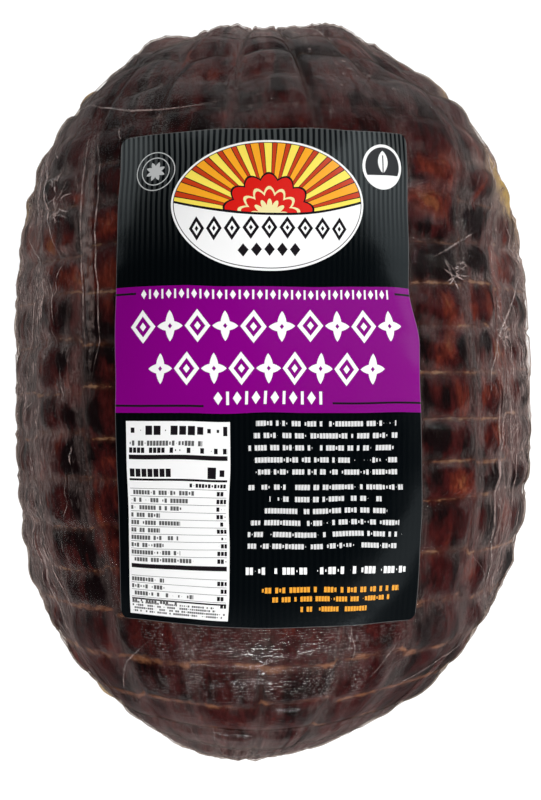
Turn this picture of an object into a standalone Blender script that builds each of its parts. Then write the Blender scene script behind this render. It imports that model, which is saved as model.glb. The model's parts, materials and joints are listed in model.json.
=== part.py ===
"""A whole boneless smoked ham, shrink-wrapped in clear film, with a paper label on its upper side.

The ham was cooked in a net, so its skin is divided into pillowed blocks by the marks of the net's cords. One
end is gathered into a dimple, and the heavy ham has settled flat where it lies. The film clings to the meat,
so the two are one closed solid. The label is a thin sheet that bridges the marks, just clear of the blocks.

Metres, +Z up, origin on the floor under the middle of the ham. +Y points to the gathered end, and the label
faces up.
"""

import math

import bmesh
import bpy
import numpy as np

# Ham: overall form
LENGTH = 0.320
WIDTH = 0.227
CREST_HEIGHT = 0.082  # from the level where it is widest up to its crest
BELLY_DEPTH = 0.080  # from that level down to the underside, before it settles
SETTLED = 0.006  # how much of the underside is pressed flat
GATHERED_ROUNDING = 3.14  # powers of the outline's curves: 2 is an ellipse, more is fuller in the middle
GATHERED_BLUNTNESS = 2.17  # powers of the same curves where they close the end: more is blunter
PLAIN_ROUNDING = 2.55
PLAIN_BLUNTNESS = 2.08
CREST_ROUNDING = 2.15
BELLY_ROUNDING = 2.5
GATHERED_END_SHIFT = -0.0024  # both ends lean to -X, and the plain one does so late
GATHERED_END_LEAN = 3
PLAIN_END_SHIFT = -0.0119
PLAIN_END_LEAN = 5

# Dimples where the ends are gathered
DIMPLE_DEPTH = 0.011
DIMPLE_RADIUS = 0.017
PLAIN_DIMPLE_DEPTH = 0.004

# Net marks
COLUMNS = 18  # cells round the ham
ROWS = 24  # cells from end to end
COLUMN_MARK_DEPTH = 0.0032
ROW_MARK_DEPTH = 0.0024
MARK_VARIATION = 0.35  # share by which a mark's depth varies
COLUMN_MARK_SHARE = 0.14  # share of a cell from the middle of a mark to its edge
ROW_MARK_SHARE = 0.22
BLOCK_CROWN = 0.0008  # how far a block's corners lie under its middle
BLOCK_UNEVENNESS = 0.0010
NET_TWIST = -0.72  # cells that a column shifts by from end to end
NET_START = -0.25  # cells from the crest to the column mark nearest to it
NET_SLOPE = 0.35  # cells by which a row on the right lies nearer to the gathered end
FULL_MARK_SWELL = 0.35  # nearer to the ends than this swell, the marks crowd together and get shallower

# Slow unevenness of the whole form
LUMP_HEIGHT = 0.0017
LUMP_WAVES = 7
LUMP_LENGTHS = (0.060, 0.120)  # shortest and longest wave
SEED = 1942

# Label
LABEL_WIDTH = 0.1147
LABEL_LENGTH = 0.1848
LABEL_THICKNESS = 0.0004
LABEL_CORNER = 0.0036
LABEL_CENTRE_X = -0.0008
LABEL_CENTRE_Y = 0.0053
LABEL_GAP = 0.0007  # between the form's own surface and the paper
LABEL_TUCK = 0.0047  # how far the right edge is drawn in towards the gathered end
LABEL_TUCK_START = 0.012  # from here to there, past the label's middle, the edge is drawn in
LABEL_TUCK_END = 0.034

# Faces
COLUMN_EDGES = (0, COLUMN_MARK_SHARE, 0.5, 1 - COLUMN_MARK_SHARE)  # where a cell is divided
ROW_EDGES = (0, ROW_MARK_SHARE, 1 - ROW_MARK_SHARE)
LABEL_FACES = (14, 20)  # across and along
CORNER_FACES = 3
TABLE_STEPS = 4000  # steps of the arc length tables
FLAT = 1e-9  # faces no higher than this are the flat rest, and are joined into one

WIDEST_LEVEL = BELLY_DEPTH - SETTLED
MEAN_RADIUS = (WIDTH / 2 + (CREST_HEIGHT + BELLY_DEPTH) / 2) / 2
DRAW = np.random.default_rng(SEED)


def signed_power(value, power):
    """value raised to power, keeping its sign."""
    return np.sign(value) * np.abs(value) ** power


def arc_lengths(points):
    """Distance along a line of points from its first to each of them."""
    steps = np.linalg.norm(np.diff(points, axis=0), axis=1)
    return np.concatenate([[0.0], np.cumsum(steps)])


def long_outline(slope):
    """Place along Y and swell (0 to 1), from the plain end (slope -pi/2) to the gathered end (pi/2)."""
    rounding = np.where(slope < 0, PLAIN_ROUNDING, GATHERED_ROUNDING)
    bluntness = np.where(slope < 0, PLAIN_BLUNTNESS, GATHERED_BLUNTNESS)
    along = LENGTH / 2 * signed_power(np.sin(slope), 2 / rounding)
    swell = np.abs(np.cos(slope)) ** (2 / bluntness)
    return along, swell


def cross_outline(angle):
    """The cross section at full swell: X and Z from its centre, for an angle from +X over the crest."""
    up = np.sin(angle) >= 0
    rounding = np.where(up, CREST_ROUNDING, BELLY_ROUNDING)
    across = WIDTH / 2 * signed_power(np.cos(angle), 2 / rounding)
    height = np.where(up, CREST_HEIGHT, BELLY_DEPTH) * signed_power(np.sin(angle), 2 / rounding)
    return across, height


# Tables that turn a share of the way round or along the form into an angle
SLOPES = np.linspace(-math.pi / 2, math.pi / 2, TABLE_STEPS)
ALONG, SWELL = long_outline(SLOPES)
LONG_ARC = arc_lengths(np.stack([ALONG, SWELL * MEAN_RADIUS], axis=1))
LONG_SHARE = LONG_ARC / LONG_ARC[-1]
ANGLES = np.linspace(0, 2 * math.pi, TABLE_STEPS)
CROSS_ARC = arc_lengths(np.stack(cross_outline(ANGLES), axis=1))
CROSS_SHARE = CROSS_ARC / CROSS_ARC[-1]
CREST_SHARE = np.interp(math.pi / 2, ANGLES, CROSS_SHARE)

LUMP_DIRECTIONS = DRAW.normal(size=(LUMP_WAVES, 3))
LUMP_DIRECTIONS /= np.linalg.norm(LUMP_DIRECTIONS, axis=1, keepdims=True)
LUMP_NUMBERS = 2 * math.pi / DRAW.uniform(*LUMP_LENGTHS, size=LUMP_WAVES)
LUMP_PHASES = DRAW.uniform(0, 2 * math.pi, size=LUMP_WAVES)
COLUMN_DEPTHS = COLUMN_MARK_DEPTH * (1 + MARK_VARIATION * DRAW.uniform(-1, 1, size=COLUMNS))
ROW_DEPTHS = ROW_MARK_DEPTH * (1 + MARK_VARIATION * DRAW.uniform(-1, 1, size=ROWS + 1))
BLOCKS = BLOCK_UNEVENNESS * DRAW.uniform(0, 1, size=(COLUMNS, ROWS))


def bare_form(round_share, long_share):
    """Points, outward directions and swell of the smooth form, at shares of the way round and along it."""
    angle = np.interp(round_share % 1.0, CROSS_SHARE, ANGLES)
    slope = np.interp(long_share, LONG_SHARE, SLOPES)
    along, swell = long_outline(slope)
    across, height = cross_outline(angle)
    points = np.stack([across * swell, along, height * swell], axis=-1)

    rounding = np.where(along < 0, PLAIN_ROUNDING, GATHERED_ROUNDING)
    bluntness = np.where(along < 0, PLAIN_BLUNTNESS, GATHERED_BLUNTNESS)
    cross_power = np.where(height < 0, BELLY_ROUNDING, CREST_ROUNDING) - 1
    tall = np.where(height < 0, BELLY_DEPTH, CREST_HEIGHT)
    aside = bluntness * swell ** (bluntness - 1)
    outward_x = aside * signed_power(across / (WIDTH / 2), cross_power) / (WIDTH / 2)
    outward_y = rounding * signed_power(along / (LENGTH / 2), rounding - 1) / (LENGTH / 2)
    outward_z = aside * signed_power(height / tall, cross_power) / tall
    outward = np.stack([outward_x, outward_y, outward_z], axis=-1)
    outward /= np.linalg.norm(outward, axis=-1, keepdims=True)
    return points, outward, swell


def lumps(points):
    """Slow swelling and sinking of the form, from a few crossing waves."""
    waves = np.sin(points @ LUMP_DIRECTIONS.T * LUMP_NUMBERS + LUMP_PHASES)
    return LUMP_HEIGHT * waves.sum(axis=-1) / math.sqrt(LUMP_WAVES)


def mark(cells, share):
    """1 in the middle of a mark, falling to 0 at its edges."""
    distance = np.abs(cells - np.round(cells))
    return 0.5 + 0.5 * np.cos(math.pi * np.clip(distance / share, 0, 1))


def crown(cells):
    """0 where a cell begins and ends, 1 in its middle."""
    part = cells - np.floor(cells)
    return 4 * part * (1 - part)


def net_depth(columns, rows, swell):
    """How deep the surface lies under the form, at places counted in cells."""
    in_column = mark(columns, COLUMN_MARK_SHARE)
    in_row = mark(rows, ROW_MARK_SHARE)
    near_column = np.round(columns).astype(int) % COLUMNS
    near_row = np.round(rows).astype(int)
    marks = np.maximum(COLUMN_DEPTHS[near_column] * in_column, ROW_DEPTHS[near_row] * in_row)
    block_column = np.floor(columns).astype(int) % COLUMNS
    block_row = np.clip(np.floor(rows).astype(int), 0, ROWS - 1)
    block = BLOCK_CROWN * (1 - crown(columns) * crown(rows)) + BLOCKS[block_column, block_row]
    depth = marks + block * (1 - in_column) * (1 - in_row)
    return depth * np.clip(swell / FULL_MARK_SWELL, 0, 1)


def shape_ends(points, swell):
    """Sinks the dimples into both ends and leans the ends over."""
    gathered = points[..., 1] > 0
    sink = np.exp(-((swell * MEAN_RADIUS / DIMPLE_RADIUS) ** 2))
    share = np.abs(points[..., 1]) / (LENGTH / 2)
    moved = points.copy()
    moved[..., 1] += np.where(gathered, -DIMPLE_DEPTH, PLAIN_DIMPLE_DEPTH) * sink
    gathered_lean = GATHERED_END_SHIFT * share**GATHERED_END_LEAN
    moved[..., 0] += np.where(gathered, gathered_lean, PLAIN_END_SHIFT * share**PLAIN_END_LEAN)
    return moved


def ham_points(columns, rows):
    """Points of the ham's surface at places counted in net cells, from the crest and from the plain end."""
    turned = (columns + NET_START + NET_TWIST * (rows / ROWS - 0.5)) / COLUMNS
    sloped = rows + NET_SLOPE * np.sin(math.pi * rows / ROWS) * (1 + np.sin(2 * math.pi * turned)) / 2
    points, outward, swell = bare_form(CREST_SHARE - turned, sloped / ROWS)
    lift = lumps(points) - net_depth(columns, rows, swell)
    points = shape_ends(points + outward * lift[..., None], swell)
    points[..., 2] = np.maximum(points[..., 2] + WIDEST_LEVEL, 0)
    return points


def label_points(across, along):
    """Points of the label's underside, for places on the flat label measured from its middle."""
    drawn_in = np.clip((along - LABEL_TUCK_START) / (LABEL_TUCK_END - LABEL_TUCK_START), 0, 1)
    edge = np.clip(across / (LABEL_WIDTH / 2), 0, 1)
    across = across - LABEL_TUCK * edge**3 * drawn_in**2 * (3 - 2 * drawn_in)
    crest_arc = arc_lengths(np.stack([ALONG, SWELL * CREST_HEIGHT], axis=1))
    crest_arc -= np.interp(0, ALONG, crest_arc)
    long_share = np.interp(along + LABEL_CENTRE_Y, crest_arc, LONG_SHARE)
    swell = np.interp(long_share, LONG_SHARE, SWELL)
    round_share = CREST_SHARE - (across + LABEL_CENTRE_X) / (CROSS_ARC[-1] * swell)
    points, outward, swell = bare_form(round_share, long_share)
    lift = lumps(points) + LABEL_GAP
    points = shape_ends(points + outward * lift[..., None], swell)
    points[..., 2] += WIDEST_LEVEL
    return points


def clear_scene():
    for old in list(bpy.data.objects):
        bpy.data.objects.remove(old)


def material(name, colour, roughness):
    made = bpy.data.materials.new(name)
    made.use_nodes = True
    shader = made.node_tree.nodes["Principled BSDF"]
    shader.inputs["Base Color"].default_value = (*colour, 1.0)
    shader.inputs["Roughness"].default_value = roughness
    return made


def add_object(name, shape, finish):
    """Turns a bmesh into an object with a material, and frees the bmesh."""
    mesh = bpy.data.meshes.new(name)
    shape.to_mesh(mesh)
    shape.free()
    mesh.shade_smooth()
    mesh.materials.append(finish)
    made = bpy.data.objects.new(name, mesh)
    bpy.context.scene.collection.objects.link(made)
    return made


def move_points(shape, places):
    for vertex, place in zip(shape.verts, places):
        vertex.co = place


def to_cells(turns, cells, edges):
    """Places counted in cells for even steps round a circle, so that each cell is divided at the given edges."""
    steps = np.round(turns * cells * len(edges)).astype(int)
    return steps // len(edges) + np.array(edges)[steps % len(edges)]


def add_wrapped_ham():
    """A sphere whose circles fall on the net marks and beside them, drawn out to the form of the ham."""
    shape = bmesh.new()
    bmesh.ops.create_uvsphere(
        shape,
        u_segments=COLUMNS * len(COLUMN_EDGES),
        v_segments=ROWS * len(ROW_EDGES),
        radius=1.0,
    )
    sphere = np.array([vertex.co for vertex in shape.verts])
    rows = to_cells(np.arcsin(np.clip(sphere[:, 2], -1, 1)) / math.pi + 0.5, ROWS, ROW_EDGES)
    columns = to_cells(np.arctan2(sphere[:, 1], sphere[:, 0]) / (2 * math.pi), COLUMNS, COLUMN_EDGES)
    move_points(shape, ham_points(columns, rows))
    pressed = [face for face in shape.faces if max(vertex.co.z for vertex in face.verts) < FLAT]
    bmesh.ops.dissolve_faces(shape, faces=pressed, use_verts=True)
    return add_object("wrapped_ham", shape, material("smoked_meat", (0.075, 0.022, 0.017), 0.35))


def add_label():
    """A flat sheet with rounded corners, laid over the form and given its thickness."""
    shape = bmesh.new()
    bmesh.ops.create_grid(shape, x_segments=LABEL_FACES[0], y_segments=LABEL_FACES[1], size=0.5)
    bmesh.ops.scale(shape, vec=(LABEL_WIDTH, LABEL_LENGTH, 1), verts=shape.verts)
    corners = [vertex for vertex in shape.verts if len(vertex.link_edges) == 2]
    bmesh.ops.bevel(
        shape,
        geom=corners,
        offset=LABEL_CORNER,
        segments=CORNER_FACES,
        profile=0.5,
        affect="VERTICES",
    )
    flat = np.array([vertex.co for vertex in shape.verts])
    move_points(shape, label_points(flat[:, 0], flat[:, 1]))
    made = add_object("label", shape, material("label_paper", (0.012, 0.014, 0.016), 0.25))
    thickness = made.modifiers.new("thickness", "SOLIDIFY")
    thickness.thickness = LABEL_THICKNESS
    thickness.offset = 1.0
    return made


def centre_on_floor(objects, widest):
    """Moves the meshes so that the middle of the widest one stands over the origin."""
    places = np.array([vertex.co for vertex in widest.data.vertices])
    middle = (places.min(axis=0) + places.max(axis=0)) / 2
    for thing in objects:
        for vertex in thing.data.vertices:
            vertex.co.x -= middle[0]
            vertex.co.y -= middle[1]


def main():
    clear_scene()
    ham = add_wrapped_ham()
    label = add_label()
    centre_on_floor((ham, label), ham)


main()
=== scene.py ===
"""A boneless smoked ham in clear film with a paper label: the looks, laid over the part's own solids.

The meat and the film are two skins of the same form as the solid. Each is a flat sheet of net cells rolled
round the ham by the formula that the part uses, because its lumps and net marks follow from that formula and
no edit by hand would meet them. The label is a flat sheet bent over the form by the same means.

Places on the skin are counted in net cells: columns from the crest towards the right, and rows from the plain
end to the gathered one. Metres, +Z up, and +Y points to the gathered end.
"""

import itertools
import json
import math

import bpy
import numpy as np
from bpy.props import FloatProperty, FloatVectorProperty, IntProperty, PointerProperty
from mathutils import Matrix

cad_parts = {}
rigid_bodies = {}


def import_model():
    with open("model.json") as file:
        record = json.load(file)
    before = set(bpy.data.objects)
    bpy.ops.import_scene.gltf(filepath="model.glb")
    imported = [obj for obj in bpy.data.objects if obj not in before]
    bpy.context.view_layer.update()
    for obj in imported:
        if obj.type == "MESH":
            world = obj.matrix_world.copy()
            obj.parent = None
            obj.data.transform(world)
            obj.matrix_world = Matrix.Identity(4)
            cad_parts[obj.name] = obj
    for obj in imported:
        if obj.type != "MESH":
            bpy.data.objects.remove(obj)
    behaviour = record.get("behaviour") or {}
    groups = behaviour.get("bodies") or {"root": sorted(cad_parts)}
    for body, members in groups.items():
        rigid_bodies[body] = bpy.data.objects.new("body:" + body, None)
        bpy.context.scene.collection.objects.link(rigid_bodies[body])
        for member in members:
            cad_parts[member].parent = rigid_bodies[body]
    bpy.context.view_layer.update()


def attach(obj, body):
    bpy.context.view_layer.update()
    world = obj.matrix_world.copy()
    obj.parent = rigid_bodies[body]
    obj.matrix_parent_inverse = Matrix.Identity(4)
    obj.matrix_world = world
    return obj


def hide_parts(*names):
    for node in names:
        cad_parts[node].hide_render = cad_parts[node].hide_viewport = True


bl_info = {
    "name": "Wrapped Ham",
    "version": (1, 0, 0),
    "blender": (4, 5, 0),
    "location": "View3D > Sidebar > Ham",
    "description": "Builds a smoked ham in clear film, with its label",
    "category": "Add Mesh",
}

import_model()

# Ham: overall form
LENGTH = 0.320
WIDTH = 0.227
CREST_HEIGHT = 0.082
BELLY_DEPTH = 0.080
SETTLED = 0.006
GATHERED_ROUNDING = 3.14  # powers of the outline's curves: 2 is an ellipse, more is fuller in the middle
GATHERED_BLUNTNESS = 2.17
PLAIN_ROUNDING = 2.55
PLAIN_BLUNTNESS = 2.08
CREST_ROUNDING = 2.15
BELLY_ROUNDING = 2.5
GATHERED_END_SHIFT = -0.0024
GATHERED_END_LEAN = 3
PLAIN_END_SHIFT = -0.0119
PLAIN_END_LEAN = 5
DIMPLE_DEPTH = 0.011
DIMPLE_RADIUS = 0.017
PLAIN_DIMPLE_DEPTH = 0.004

# Net marks
COLUMNS = 18  # cells round the ham
ROWS = 24  # cells from end to end
COLUMN_MARK_DEPTH = 0.0032
ROW_MARK_DEPTH = 0.0024
MARK_VARIATION = 0.35
COLUMN_MARK_SHARE = 0.14
ROW_MARK_SHARE = 0.22
BLOCK_CROWN = 0.0008
BLOCK_UNEVENNESS = 0.0010
NET_TWIST = -0.72
NET_START = -0.25
NET_SLOPE = 0.35
FULL_MARK_SWELL = 0.35
COLUMN_EDGES = (0, COLUMN_MARK_SHARE, 0.5, 1 - COLUMN_MARK_SHARE)  # where the solid divides a cell
ROW_EDGES = (0, ROW_MARK_SHARE, 1 - ROW_MARK_SHARE)

# How far the real net's marks lie from even columns and rows: place, then shift, both in cells
COLUMN_CROWDING = (
    (-9.0, 0.0),
    (-7.0, -0.3),
    (-5.5, -0.5),
    (-4.4, -0.6),
    (-3.4, -0.55),
    (-2.75, -0.25),
    (-1.93, -0.07),
    (-1.0, 0.0),
    (1.0, 0.0),
    (1.8, 0.2),
    (2.62, 0.38),
    (3.2, 0.8),
    (4.2, 0.8),
    (5.4, 0.6),
    (6.6, 0.4),
    (9.0, 0.0),
)
CROWDING_START = (5.8, 7.4)  # rows where the crowding of the columns fades in
CROWDING_END = (15.2, 17.0)
PLAIN_END_ROWS = ((3.0, 0.40), (4.6, 0.38), (5.7, 0.30), (7.0, 0.05), (8.5, 0.0))
RIGHT_ROWS = ((7.0, 0.0), (8.2, -0.15), (9.2, -0.22), (10.2, -0.15), (11.2, -0.07), (13.0, 0.0))
LEFT_ROWS = ((7.0, 0.0), (8.0, 0.12), (12.9, 0.12), (14.0, 0.0))
RIGHT_START = (0.5, 1.8)  # columns from the crest where the shift of the rows there fades in
LEFT_START = (0.3, 1.2)

# How far each stretch of a mark lies from its line, in cells
COLUMN_MARK_SHIFT = 0.045
ROW_MARK_SHIFT = 0.085

# Blocks at the sides, which are rounder, and at the gathered end, where they swell and run into one another
ROUNDER_COLUMNS = (2.5, 3.8)  # where the blocks get rounder, counted from the crest
ROUNDER_CROWN = 0.0022
END_ROWS = (17.4, 19.2)
END_SWELLING = 0.0032
LUMPS_TO_A_COLUMN = 1.3
LUMPS_TO_A_ROW = 0.75
LUMP_DRAW = 5
END_ROW_MARKS = 0.90  # how much shallower the row marks get there, at most
END_COLUMN_MARKS = 0.10  # how much deeper the column marks get there
END_BOW = 0.4  # how far the row marks bow there, in rows, at most

# Slow unevenness of the whole form
LUMP_HEIGHT = 0.0017
LUMP_WAVES = 7
LUMP_LENGTHS = (0.060, 0.120)
SEED = 1942

# Label
LABEL_WIDTH = 0.1147
LABEL_LENGTH = 0.1848
LABEL_THICKNESS = 0.0004
LABEL_CORNER = 0.0036
LABEL_CENTRE_X = -0.0008
LABEL_CENTRE_Y = 0.0053
LABEL_GAP = 0.0007
LABEL_TUCK = 0.0047
LABEL_TUCK_START = 0.012
LABEL_TUCK_END = 0.034

# Meshes
SKIN_STEPS = (432, 216)  # 24 to a column and 9 to a row
MERGE_DISTANCE = 0.00001
LABEL_STEPS = (76, 120)
LABEL_SHARP_ANGLE = 50
LABEL_WAVE = 0.0004  # how far the label's edges wander
LABEL_WAVE_LENGTH = 0.016
LABEL_WAVE_DRAWS = (21, 22)
TABLE_STEPS = 4000

# Folds in the film: routes in columns and rows, then width, height and how much they show
PLEAT_LEFT = (
    (-2.16, 18.3),
    (-2.06, 17.2),
    (-2.01, 16.2),
    (-1.94, 15.0),
    (-1.84, 13.8),
    (-1.84, 12.85),
    (-1.8, 12.1),
)
PLEAT_MIDDLE = (
    (-2.10, 18.2),
    (-1.94, 17.2),
    (-1.87, 16.2),
    (-1.84, 15.0),
    (-1.73, 13.8),
    (-1.73, 12.85),
    (-1.78, 12.1),
)
PLEAT_RIGHT = (
    (-2.04, 18.2),
    (-1.80, 17.1),
    (-1.71, 16.1),
    (-1.72, 14.95),
    (-1.61, 13.8),
    (-1.62, 12.8),
    (-1.75, 12.1),
)
TOP_CREASE = (
    (-2.86, 18.7),
    (-2.36, 18.7),
    (-1.89, 18.5),
    (-1.46, 18.2),
    (-1.09, 18.12),
    (-0.59, 18.12),
    (-0.06, 18.27),
)
RIGHT_CREASE = (
    (4.1, 14.65),
    (3.5, 13.7),
    (3.29, 13.2),
    (3.2, 12.9),
    (3.08, 12.62),
    (2.89, 11.85),
    (2.79, 11.4),
)
RIGHT_RIDGE = ((3.05, 12.3), (3.0, 10.95), (2.93, 8.72), (3.08, 7.75), (3.23, 6.75))
RIGHT_TRIANGLE = ((4.35, 17.85), (4.31, 17.35), (4.39, 16.35), (4.5, 15.5), (4.1, 14.7))
TRIANGLE_FOOT = ((3.6, 15.5), (3.75, 15.0), (4.11, 14.7))
LABEL_CREASE = ((2.15, 14.5), (2.53, 14.85), (2.91, 15.2))
NEAR_LEFT_CREASE = ((-2.35, 4.6), (-2.0, 5.6), (-1.44, 6.35))
NEAR_RIGHT_CREASE = ((2.1, 4.6), (2.6, 5.1), (3.4, 5.6))
NEAR_LABEL_CREASE = ((1.5, 5.2), (1.75, 5.8), (1.8, 6.5))
MAIN_FOLDS = (
    (PLEAT_LEFT, 0.0009, 0.0005, 0.5),
    (PLEAT_RIGHT, 0.0007, 0.0005, 0.6),
    (TOP_CREASE, 0.0008, 0.0006, 0.6),
    (RIGHT_CREASE, 0.0011, 0.0006, 0.8),
    (RIGHT_RIDGE, 0.0012, 0.0007, 0.5),
    (RIGHT_TRIANGLE, 0.0010, 0.0005, 0.6),
    (TRIANGLE_FOOT, 0.0009, 0.0005, 0.6),
    (LABEL_CREASE, 0.0009, 0.0004, 0.6),
    (NEAR_LEFT_CREASE, 0.0008, 0.0004, 0.3),
    (NEAR_RIGHT_CREASE, 0.0009, 0.0004, 0.35),
    (NEAR_LABEL_CREASE, 0.0008, 0.0004, 0.35),
    (PLEAT_MIDDLE, 0.0056, 0.0004, 0.20),
)
# Fans of fine folds: where they start together, where they end, spread there in columns, and how many
FANS = (
    ((-3.35, 18.4), (-2.95, 14.6), 0.80, 18),
    ((-3.2, 17.4), (-3.3, 13.4), 0.40, 10),
    ((4.4, 18.6), (3.55, 15.2), 0.65, 16),
    ((-2.6, 14.9), (-2.55, 12.4), 0.55, 10),
    ((3.4, 14.0), (3.7, 9.5), 0.50, 7),
    ((3.3, 12.7), (3.1, 7.2), 0.40, 5),
    ((-3.0, 9.5), (-2.9, 6.0), 0.55, 9),
)
FANS_ROUND = 10  # on the sides that don't show from above, where no fold's place is known
FOLDS_TO_A_FAN_ROUND = 10
FAN_POINTS = 7
FAN_WANDER = 0.018  # how far a fold wanders from one point of its route to the next, in columns
FAN_FOLD_HEIGHT = 0.00035
CRUMPLES = ((-2.57, 16.8), (-2.5, 16.0), (4.05, 17.2), (3.25, 12.85), (2.45, 14.2))
CRUMPLES_ROUND = 9
FOLDS_TO_A_CRUMPLE = 16
CRUMPLE_SCATTER = (0.07, 0.16)  # how far the folds start from the middle, in columns and rows
CRUMPLE_REACH = (0.26, 0.50)  # columns and rows to one unit of a fold's reach
CRUMPLE_FOLD_HEIGHT = 0.0004
SIDE_FOLD_STARTS = (1.5, ROWS - 3.5)  # rows
SIDE_FOLD_LEAN = 0.12  # columns to a row
SIDE_FOLD_HEIGHT_SHARE = 0.45  # of its width
SIDE_FOLD_POINTS = 9
SIDE_FOLD_WANDER = 0.045
SIDE_FOLDS_ELSEWHERE = 0.06  # share of the folds that stays where the film clings
END_MARGIN = 0.4  # rows at both ends that no fold reaches
LAST_ROW_ROUND = ROWS - 4
FOLD_STATIONS = 16
FOLD_SUNK = 0.00005
FOLD_TAPER = 0.6  # power of the taper: less is blunter
FOLD_TIP = 0.02  # share of its length that is left off the taper at both tips
FOLD_SEED = 7

# Where the casing's weave fades in and out, in rows, to the sides, in columns, and within each row: the band
# where its knots get painted glints, under the near-end lamp's highlight
WEAVE_START = (4.6, 4.9)
WEAVE_END = (6.8, 7.8)
WEAVE_SIDES = (0.9, 2.3)
WEAVE_IN_ROW = (0.12, 0.42)

# Film: where it gets loose, as shares of the half width and of the girth that is lost towards the ends
LOOSE_SIDES = (0.60, 0.97)
LOOSE_ENDS = (0.30, 0.75)
PLAIN_END_LOOSENESS = 0.5
LESS_LOOSE_RIGHT = 0.22
LESS_LOOSE_REACH = (-0.5, 1.0)  # least and most of the way to the right that it counts
FILM_END_SHARE = 0.80  # share of the column marks that the film follows at the gathered end

# Wrinkles: how wide, long and deep in metres, and how sharp
LONG_WRINKLES = (0.0075, 0.050, 0.0075)
SHORT_WRINKLES = (0.0045, 0.022, 0.0045)
SHORT_WRINKLE_SHARE = 0.5
WRINKLE_SHARPNESS = 5
GATHER_STARTS = (0.35, 0.75)  # shares of the girth that is lost
GATHERS_ROUND = 9
GATHERS_INWARDS = 3
GATHER_SHARPNESS = 3
PLAIN_END_GATHERS = 0.35  # share of the gathers' height at each end
GATHERED_END_GATHERS = 0.65
EVEN_POLE = 0.12  # share of the girth below which the wrinkles die out
MEAT_UNDER_WRINKLES = 0.92  # how far the meat rises under the film's wrinkles, as a share of their height
GRAIN_LONG = (0.006, 0.013, 0.006)
GRAIN_SHORT = 0.0035
GRAIN_SHORT_SHARE = 0.5
GRAIN_DRAWS = (11, 12)

# Amber juice under the film: column, row, half width in columns, half length in rows
AMBER_PATCHES = (
    (-3.6, 19.6, 0.35, 0.40),
    (-3.5, 16.3, 0.25, 0.75),
    (3.85, 19.2, 0.32, 0.50),
    (4.15, 16.5, 0.50, 1.00),
    (-3.5, 4.1, 0.38, 0.40),
    (6.4, 8.2, 0.35, 0.60),
    (8.6, 17.0, 0.40, 0.60),
    (-6.2, 12.6, 0.35, 0.70),
)

# Places where the film is sucked on to the meat: column, row, half width, half length, and how warm the meat
# shows there, from black at -1 over dark red at 0.3 to orange at 1
CONTACT_PATCHES = (
    (2.2, 11.6, 0.10, 0.35, -1.0),
    (2.1, 11.7, 0.10, 0.25, 0.9),
    (2.3, 12.6, 0.10, 0.30, 0.7),
    (2.5, 12.6, 0.10, 0.25, -0.8),
    (3.1, 12.6, 0.15, 0.30, 0.8),
    (2.9, 12.7, 0.10, 0.20, -0.7),
    (3.0, 11.6, 0.15, 0.30, 0.8),
    (3.0, 10.7, 0.15, 0.30, 0.9),
    (2.0, 10.7, 0.15, 0.20, -1.1),
    (2.7, 10.1, 0.10, 0.20, -0.6),
    (2.3, 9.6, 0.15, 0.25, 0.8),
    (2.7, 8.8, 0.15, 0.30, 0.3),
    (2.0, 9.3, 0.10, 0.20, 0.7),
    (2.0, 8.7, 0.20, 0.30, 0.3),
    (-3.0, 10.2, 0.15, 0.40, 0.3),
    (-3.0, 9.0, 0.15, 0.40, -0.3),
    (-2.8, 8.3, 0.15, 0.40, 0.5),
    (-2.1, 10.3, 0.15, 0.35, -1.1),
    (-2.0, 11.3, 0.20, 0.25, -0.6),
    (-2.2, 12.5, 0.15, 0.20, -0.7),
    (-2.1, 9.4, 0.10, 0.30, -0.9),
    (-1.9, 9.2, 0.10, 0.25, 0.9),
    (-1.9, 8.5, 0.10, 0.40, 0.7),
    (-2.0, 7.5, 0.10, 0.30, -1.0),
    (-1.6, 12.3, 0.15, 0.55, 0.4),
    (-1.6, 10.3, 0.15, 0.55, 0.4),
    (-1.4, 16.5, 0.20, 0.35, 0.7),
    (-1.5, 15.4, 0.20, 0.35, 0.5),
    (-1.5, 14.3, 0.20, 0.50, 0.5),
    (-1.5, 13.4, 0.20, 0.35, 0.4),
    (-2.1, 16.2, 0.10, 0.20, 0.9),
    (-2.5, 15.2, 0.10, 0.20, 0.8),
    (-2.1, 15.3, 0.10, 0.25, 0.6),
    (-2.0, 14.4, 0.20, 0.35, 0.5),
    (2.2, 16.7, 0.15, 0.20, 0.7),
    (2.2, 16.3, 0.15, 0.15, -0.6),
    (2.3, 15.7, 0.15, 0.25, 0.7),
    (2.8, 15.4, 0.20, 0.25, -1.1),
    (2.1, 15.2, 0.15, 0.20, -0.6),
    (2.8, 14.6, 0.15, 0.20, -0.8),
    (2.4, 14.2, 0.15, 0.25, -0.7),
    (2.3, 13.5, 0.10, 0.35, 0.6),
    (2.9, 13.5, 0.20, 0.25, 0.5),
    (-0.1, 17.8, 0.20, 0.20, 0.5),
    (-0.3, 19.2, 0.25, 0.25, 0.4),
    (0.9, 17.6, 0.15, 0.25, 0.4),
    (1.1, 20.0, 0.35, 0.45, -0.6),
    (0.1, 6.6, 0.30, 0.20, 0.4),
    (1.0, 6.4, 0.20, 0.20, 0.5),
    (-0.4, 5.8, 0.30, 0.15, 0.3),
    (0.8, 4.7, 0.30, 0.15, 0.5),
    (-2.2, 5.9, 0.10, 0.40, 0.6),
    (-1.7, 6.3, 0.10, 0.30, 0.5),
)
CONTACTS_ROUND = 110  # on the sides that don't show from above
CONTACT_WARMTHS = (-1.0, -0.6, 0.35, 0.5, 0.85)
CONTACT_HALF_WIDTHS = (0.09, 0.2)
CONTACT_HALF_LENGTHS = (0.2, 0.5)
CONTACT_SEED = 11
CONTACT_CLEARNESS = 1.4  # how soon the film shows as clear in such a place

# First column from the crest, and first row, of what a draw spreads over the sides that don't show from above
CONTACTS_FROM = (3.4, 3)
FANS_FROM = (4.2, 6)
CRUMPLES_FROM = (3.2, 4)

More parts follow.
